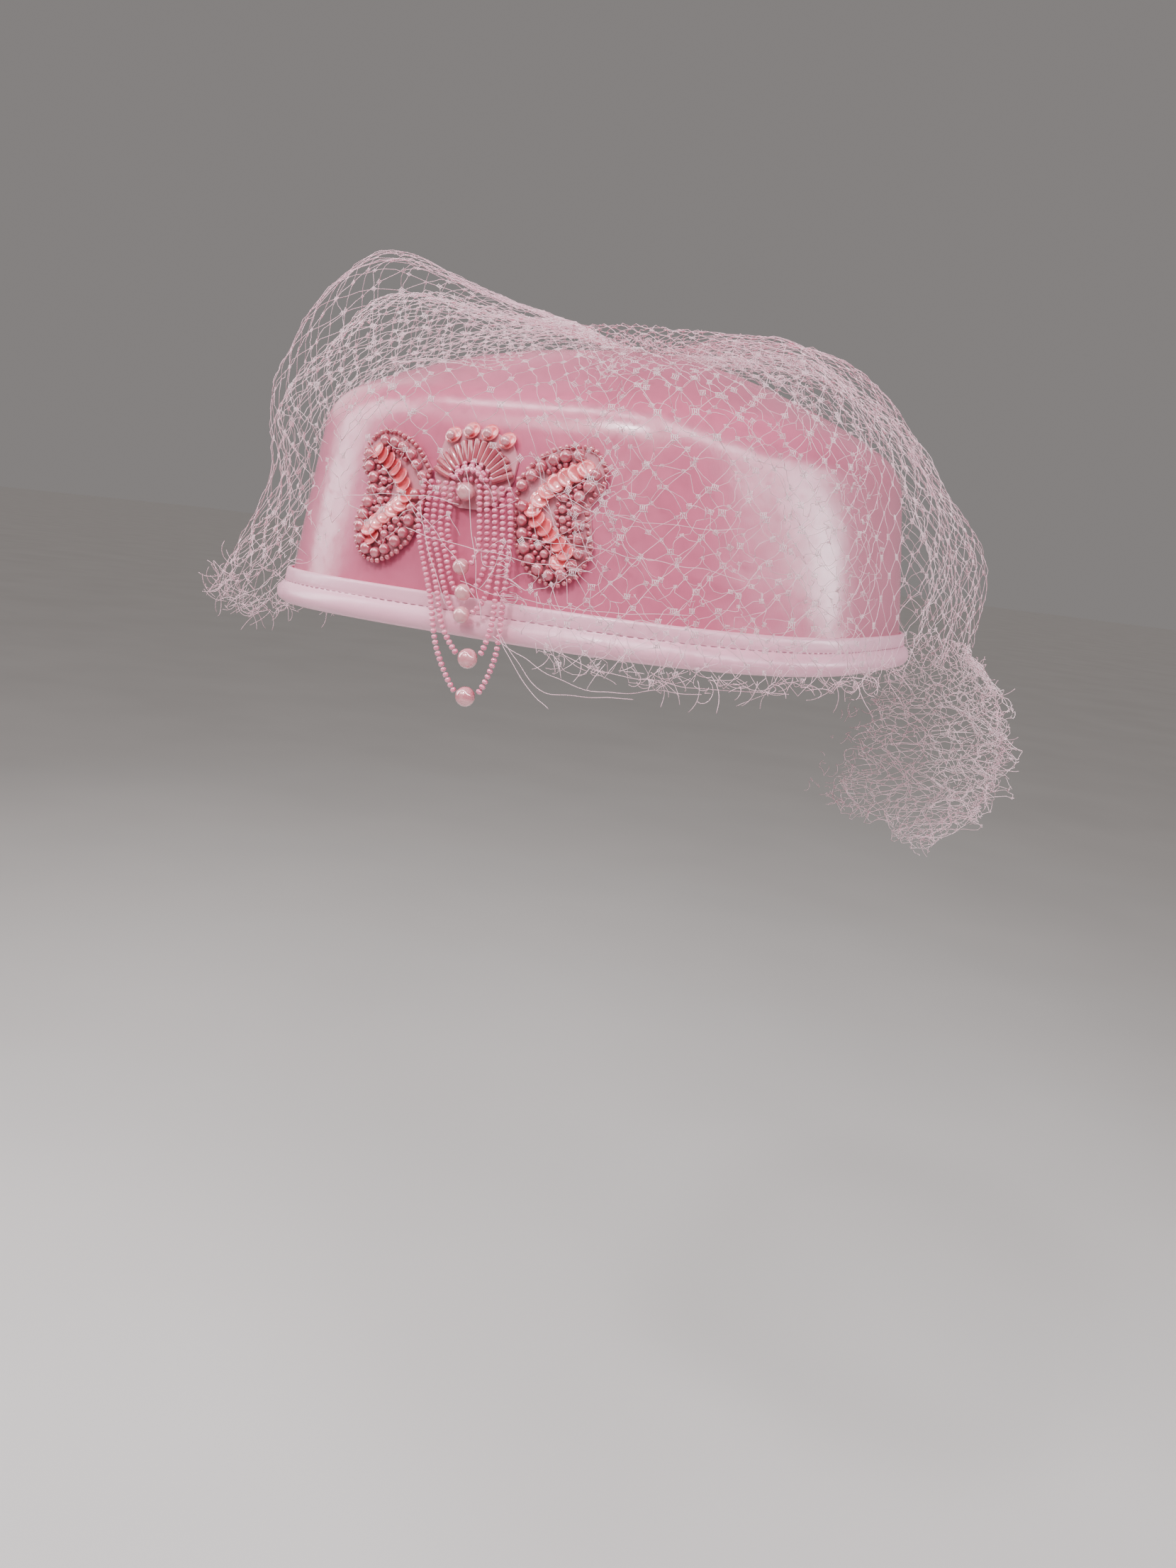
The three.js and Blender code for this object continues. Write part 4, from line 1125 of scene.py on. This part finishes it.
def makeFray():
    rand = random.Random(31)
    vertices, faces = [], []

    def curl(turn, off, height, length, push):
        # a short thread that wanders off its start and curls back
        reach = planReach(turn) + off
        line = [np.array((reach * math.cos(turn), reach * math.sin(turn), height))]
        direction = Vector(push).normalized()
        axis = Vector([rand.uniform(-1, 1) for _ in range(3)]).normalized()
        bend = Quaternion(axis, math.radians(rand.uniform(8, 34)))
        steps = 7
        for _ in range(steps):
            direction.rotate(bend)
            line.append(line[-1] + np.array(direction) * length / steps)
        tubeAlong([keepOff(tuple(p)) for p in line], netLook["strand"] / 2, vertices, faces)

    for row in frayRows:
        for _ in range(row["count"]):
            degrees = rand.uniform(row["first"], row["last"])
            off = readTable(veilSections, "turn", "hem", degrees) * netLook["fullness"]
            off += rand.uniform(-row["spread"], row["spread"] * 0.3)
            height = readTable(veilSections, "turn", "hemHeight", degrees) * netLook["hemRise"]
            height += rand.uniform(0, 4)
            push = (rand.uniform(-1, 1), rand.uniform(-1, 1), rand.uniform(-0.9, 0.5))
            curl(math.radians(degrees), off, height, row["length"] * rand.uniform(0.5, 1.15), push)
    for _ in range(frayTail["count"]):
        v = rand.uniform(0.05, 1.0)
        # two ends in three stand off the tail's first edge
        side = rand.choice(("start", "start", "end"))
        degrees = readTable(tailSections, "drop", f"{side}Turn", v) + rand.uniform(-3, 6)
        off = netLook["fullness"] * readTable(tailSections, "drop", f"{side}Off", v) - frayTail["in"]
        height = netLook["tailTop"] - netLook["tailLength"] * v * 0.97
        length = rand.uniform(frayTail["shortest"], frayTail["longest"])
        push = (rand.uniform(-0.2, 1), rand.uniform(-0.8, 0.4), rand.uniform(-0.6, 0.5))
        curl(math.radians(degrees), off, height, length, push)
    piece = makeObject("veilFray", vertices, faces, netFinish)
    finishPiece(piece, "veil_net", "veil", "veil_tail")


# Long loose threads at the front: where each starts, its middle and its end, as across and height
looseThreads = table(
    "from middle to lift",
    ((17, 3), (30, -9), (52, -8), 5.5),
    ((16, 2), (38, -7), (66, -5), 6.0),
    ((17, 4), (24, -6), (33, -13), 6.5),
    ((19, 5), (46, -3), (80, -4), 5.0),
    ((-14, 33), (-2, 24), (12, 10), 9.4),
    ((-9, 31), (-4, 20), (3, 8), 9.6),
    ((-12, 25), (8, 22), (40, 20), 9.4),
    ((2, 42), (8, 24), (14, 6), 9.4),
    ((-38, 30), (-20, 33), (2, 32), 9.0),
    ((6, 14), (30, 11), (62, 13), 8.6),
    ((24, 38), (44, 33), (68, 34), 8.0),
    ((20, 26), (44, 25), (70, 22), 7.6),
)


def makeLooseThreads():
    rand = random.Random(9)
    vertices, faces = [], []
    for thread in looseThreads:
        points = [frontWall(x, z, thread["lift"] + rand.uniform(-0.4, 0.4))
                  for x, z in (thread["from"], thread["middle"], thread["to"])]
        line, _ = smoothLine(points, 40)
        for i in range(len(line)):
            sway = noise.noise_vector(Vector(line[i]) / 9) * min(1, i / 6, (len(line) - 1 - i) / 6)
            line[i] += np.array(sway) * (1.4, 0.5, 1.4)
        tubeAlong(line, netLook["strand"] / 2 * 1.1, vertices, faces)
    piece = makeObject("veilThreads", vertices, faces, netFinish)
    finishPiece(piece, "veil_net", "veil")


# Floor, light and camera
sceneLook = {
    "floorHeight": -0.5,
    "floorSize": 60,
    "target": (0, 0, 0.03),
    "roomLight": 0.34,
    "cameraPlace": (0.16981, -0.34292, 0.02809),
    "cameraRight": (0.87921, 0.46225, 0.11544),
    "cameraUp": (-0.19376, 0.12554, 0.97298),
    "lens": 27.667,
}


def makeFloor():
    bpy.ops.object.select_all(action="DESELECT")
    bpy.ops.mesh.primitive_plane_add(size=sceneLook["floorSize"], location=(0, 0, sceneLook["floorHeight"]))
    floor = bpy.context.object
    floor.name = "floor"
    # backdrop paper: matte and nearly even
    paper = newMaterial("paleMattePaper", ("E0DCD9", "E6E2DF"), 333, {"Roughness": 0.8})[0]
    floor.data.materials.append(paper)


def addLamp(name, kind, power, colour="FFFFFF"):
    lamp = bpy.data.lights.new(name, kind)
    lamp.energy = power
    lamp.color = linear(colour)[:3]
    holder = bpy.data.objects.new(name, lamp)
    bpy.context.collection.objects.link(holder)
    return lamp, holder


def addPanel(name, size, power, colour):
    lamp, holder = addLamp(name, "AREA", power, colour)
    lamp.shape = "RECTANGLE"
    lamp.size, lamp.size_y = size
    return holder


# Strips of window light round the hat, each from one direction to another: azimuth, elevation
strips = table(
    "name from to thick power",
    ("leftWindow", (-167, 2), (-154, 42), 0.34, 5.4),
    ("shoulderStrip", (-157, 50), (-86, 64), 0.07, 3.2),
    ("upperRight", (-82, 60), (-42, 35), 0.16, 4.4),
    ("cornerWindow", (-41, 34), (-14, 20), 0.14, 3.6),
    ("rightWindow", (-13, 19), (54, 4), 0.1, 4.2),
    ("glintWindow", (-97, 43), (-91, 46), 0.07, 4.4),
)
# Broad soft panels: direction, distance out, height, size and power
panels = table(
    "name turn reach height size power",
    ("frontFill", -100, 1.2, 0.9, (1.3, 0.5), 10.0),
    ("backFill", 158, 1.5, 0.7, (1.0, 0.7), 3.0),
)


def addStrip(strip, target):
    ends = []
    for degrees, rise in (strip["from"], strip["to"]):
        turn, up = math.radians(degrees), math.radians(rise)
        away = Vector((math.cos(up) * math.cos(turn), math.cos(up) * math.sin(turn), math.sin(up)))
        ends.append(away + target)
    middle = (ends[0] + ends[1]) / 2
    holder = addPanel(strip["name"], ((ends[1] - ends[0]).length, strip["thick"]), strip["power"], "FBFAFF")
    back = (middle - target).normalized()
    along = (ends[1] - ends[0]).normalized()
    along = (along - back * along.dot(back)).normalized()
    turned = Matrix((along, back.cross(along), back)).transposed().to_4x4()
    holder.matrix_world = Matrix.Translation(middle) @ turned


def makeLights():
    target = Vector(sceneLook["target"])
    for strip in strips:
        addStrip(strip, target)
    for row in panels:
        turn = math.radians(row["turn"])
        place = Vector((row["reach"] * math.cos(turn), row["reach"] * math.sin(turn), row["height"]))
        holder = addPanel(row["name"], row["size"], row["power"], "FFF8F6")
        holder.location = place
        holder.rotation_euler = (target - place).to_track_quat("-Z", "Y").to_euler()
    sun, holder = addLamp("roomFill", "SUN", 0.2)
    sun.angle = math.radians(60)
    holder.rotation_euler = (math.radians(20), 0, 0)
    world = bpy.data.worlds.new("softRoom")
    world.use_nodes = True
    background = world.node_tree.nodes["Background"].inputs
    background["Color"].default_value = linear("DAD4D2")
    background["Strength"].default_value = sceneLook["roomLight"]
    bpy.context.scene.world = world


def makeCamera():
    data = bpy.data.cameras.new("photoCamera")
    data.sensor_fit = "AUTO"
    data.sensor_width = 36
    data.lens = sceneLook["lens"]
    data.clip_start = 0.01
    holder = bpy.data.objects.new("photoCamera", data)
    bpy.context.collection.objects.link(holder)
    right = Vector(sceneLook["cameraRight"]).normalized()
    up = Vector(sceneLook["cameraUp"]).normalized()
    back = right.cross(up).normalized()
    turned = Matrix((right, up, back)).transposed().to_4x4()
    holder.matrix_world = Matrix.Translation(Vector(sceneLook["cameraPlace"])) @ turned
    bpy.context.scene.camera = holder


makeCamera()
makeLights()
makeFloor()
makeCrown()
print("crown made")
makeBand()
makeStitches()
print("band made")
makeBacking("wingLeftBacking", wingEdge, 1, "wing_left")
makeBacking("wingRightBacking", wingEdge, -1, "wing_right")
makeBacking("medallionBacking", heartEdge, 1, "medallion")
makeWing("wingLeft", 1, "wing_left", 5)
makeWing("wingRight", -1, "wing_right", 6)
makeMedallion()
print("ornament made")
for number, row in enumerate(loopRows, 1):
    makeLoop(row, number)
print("loops made")
makeNets()
makeFray()
makeLooseThreads()
print("net made")
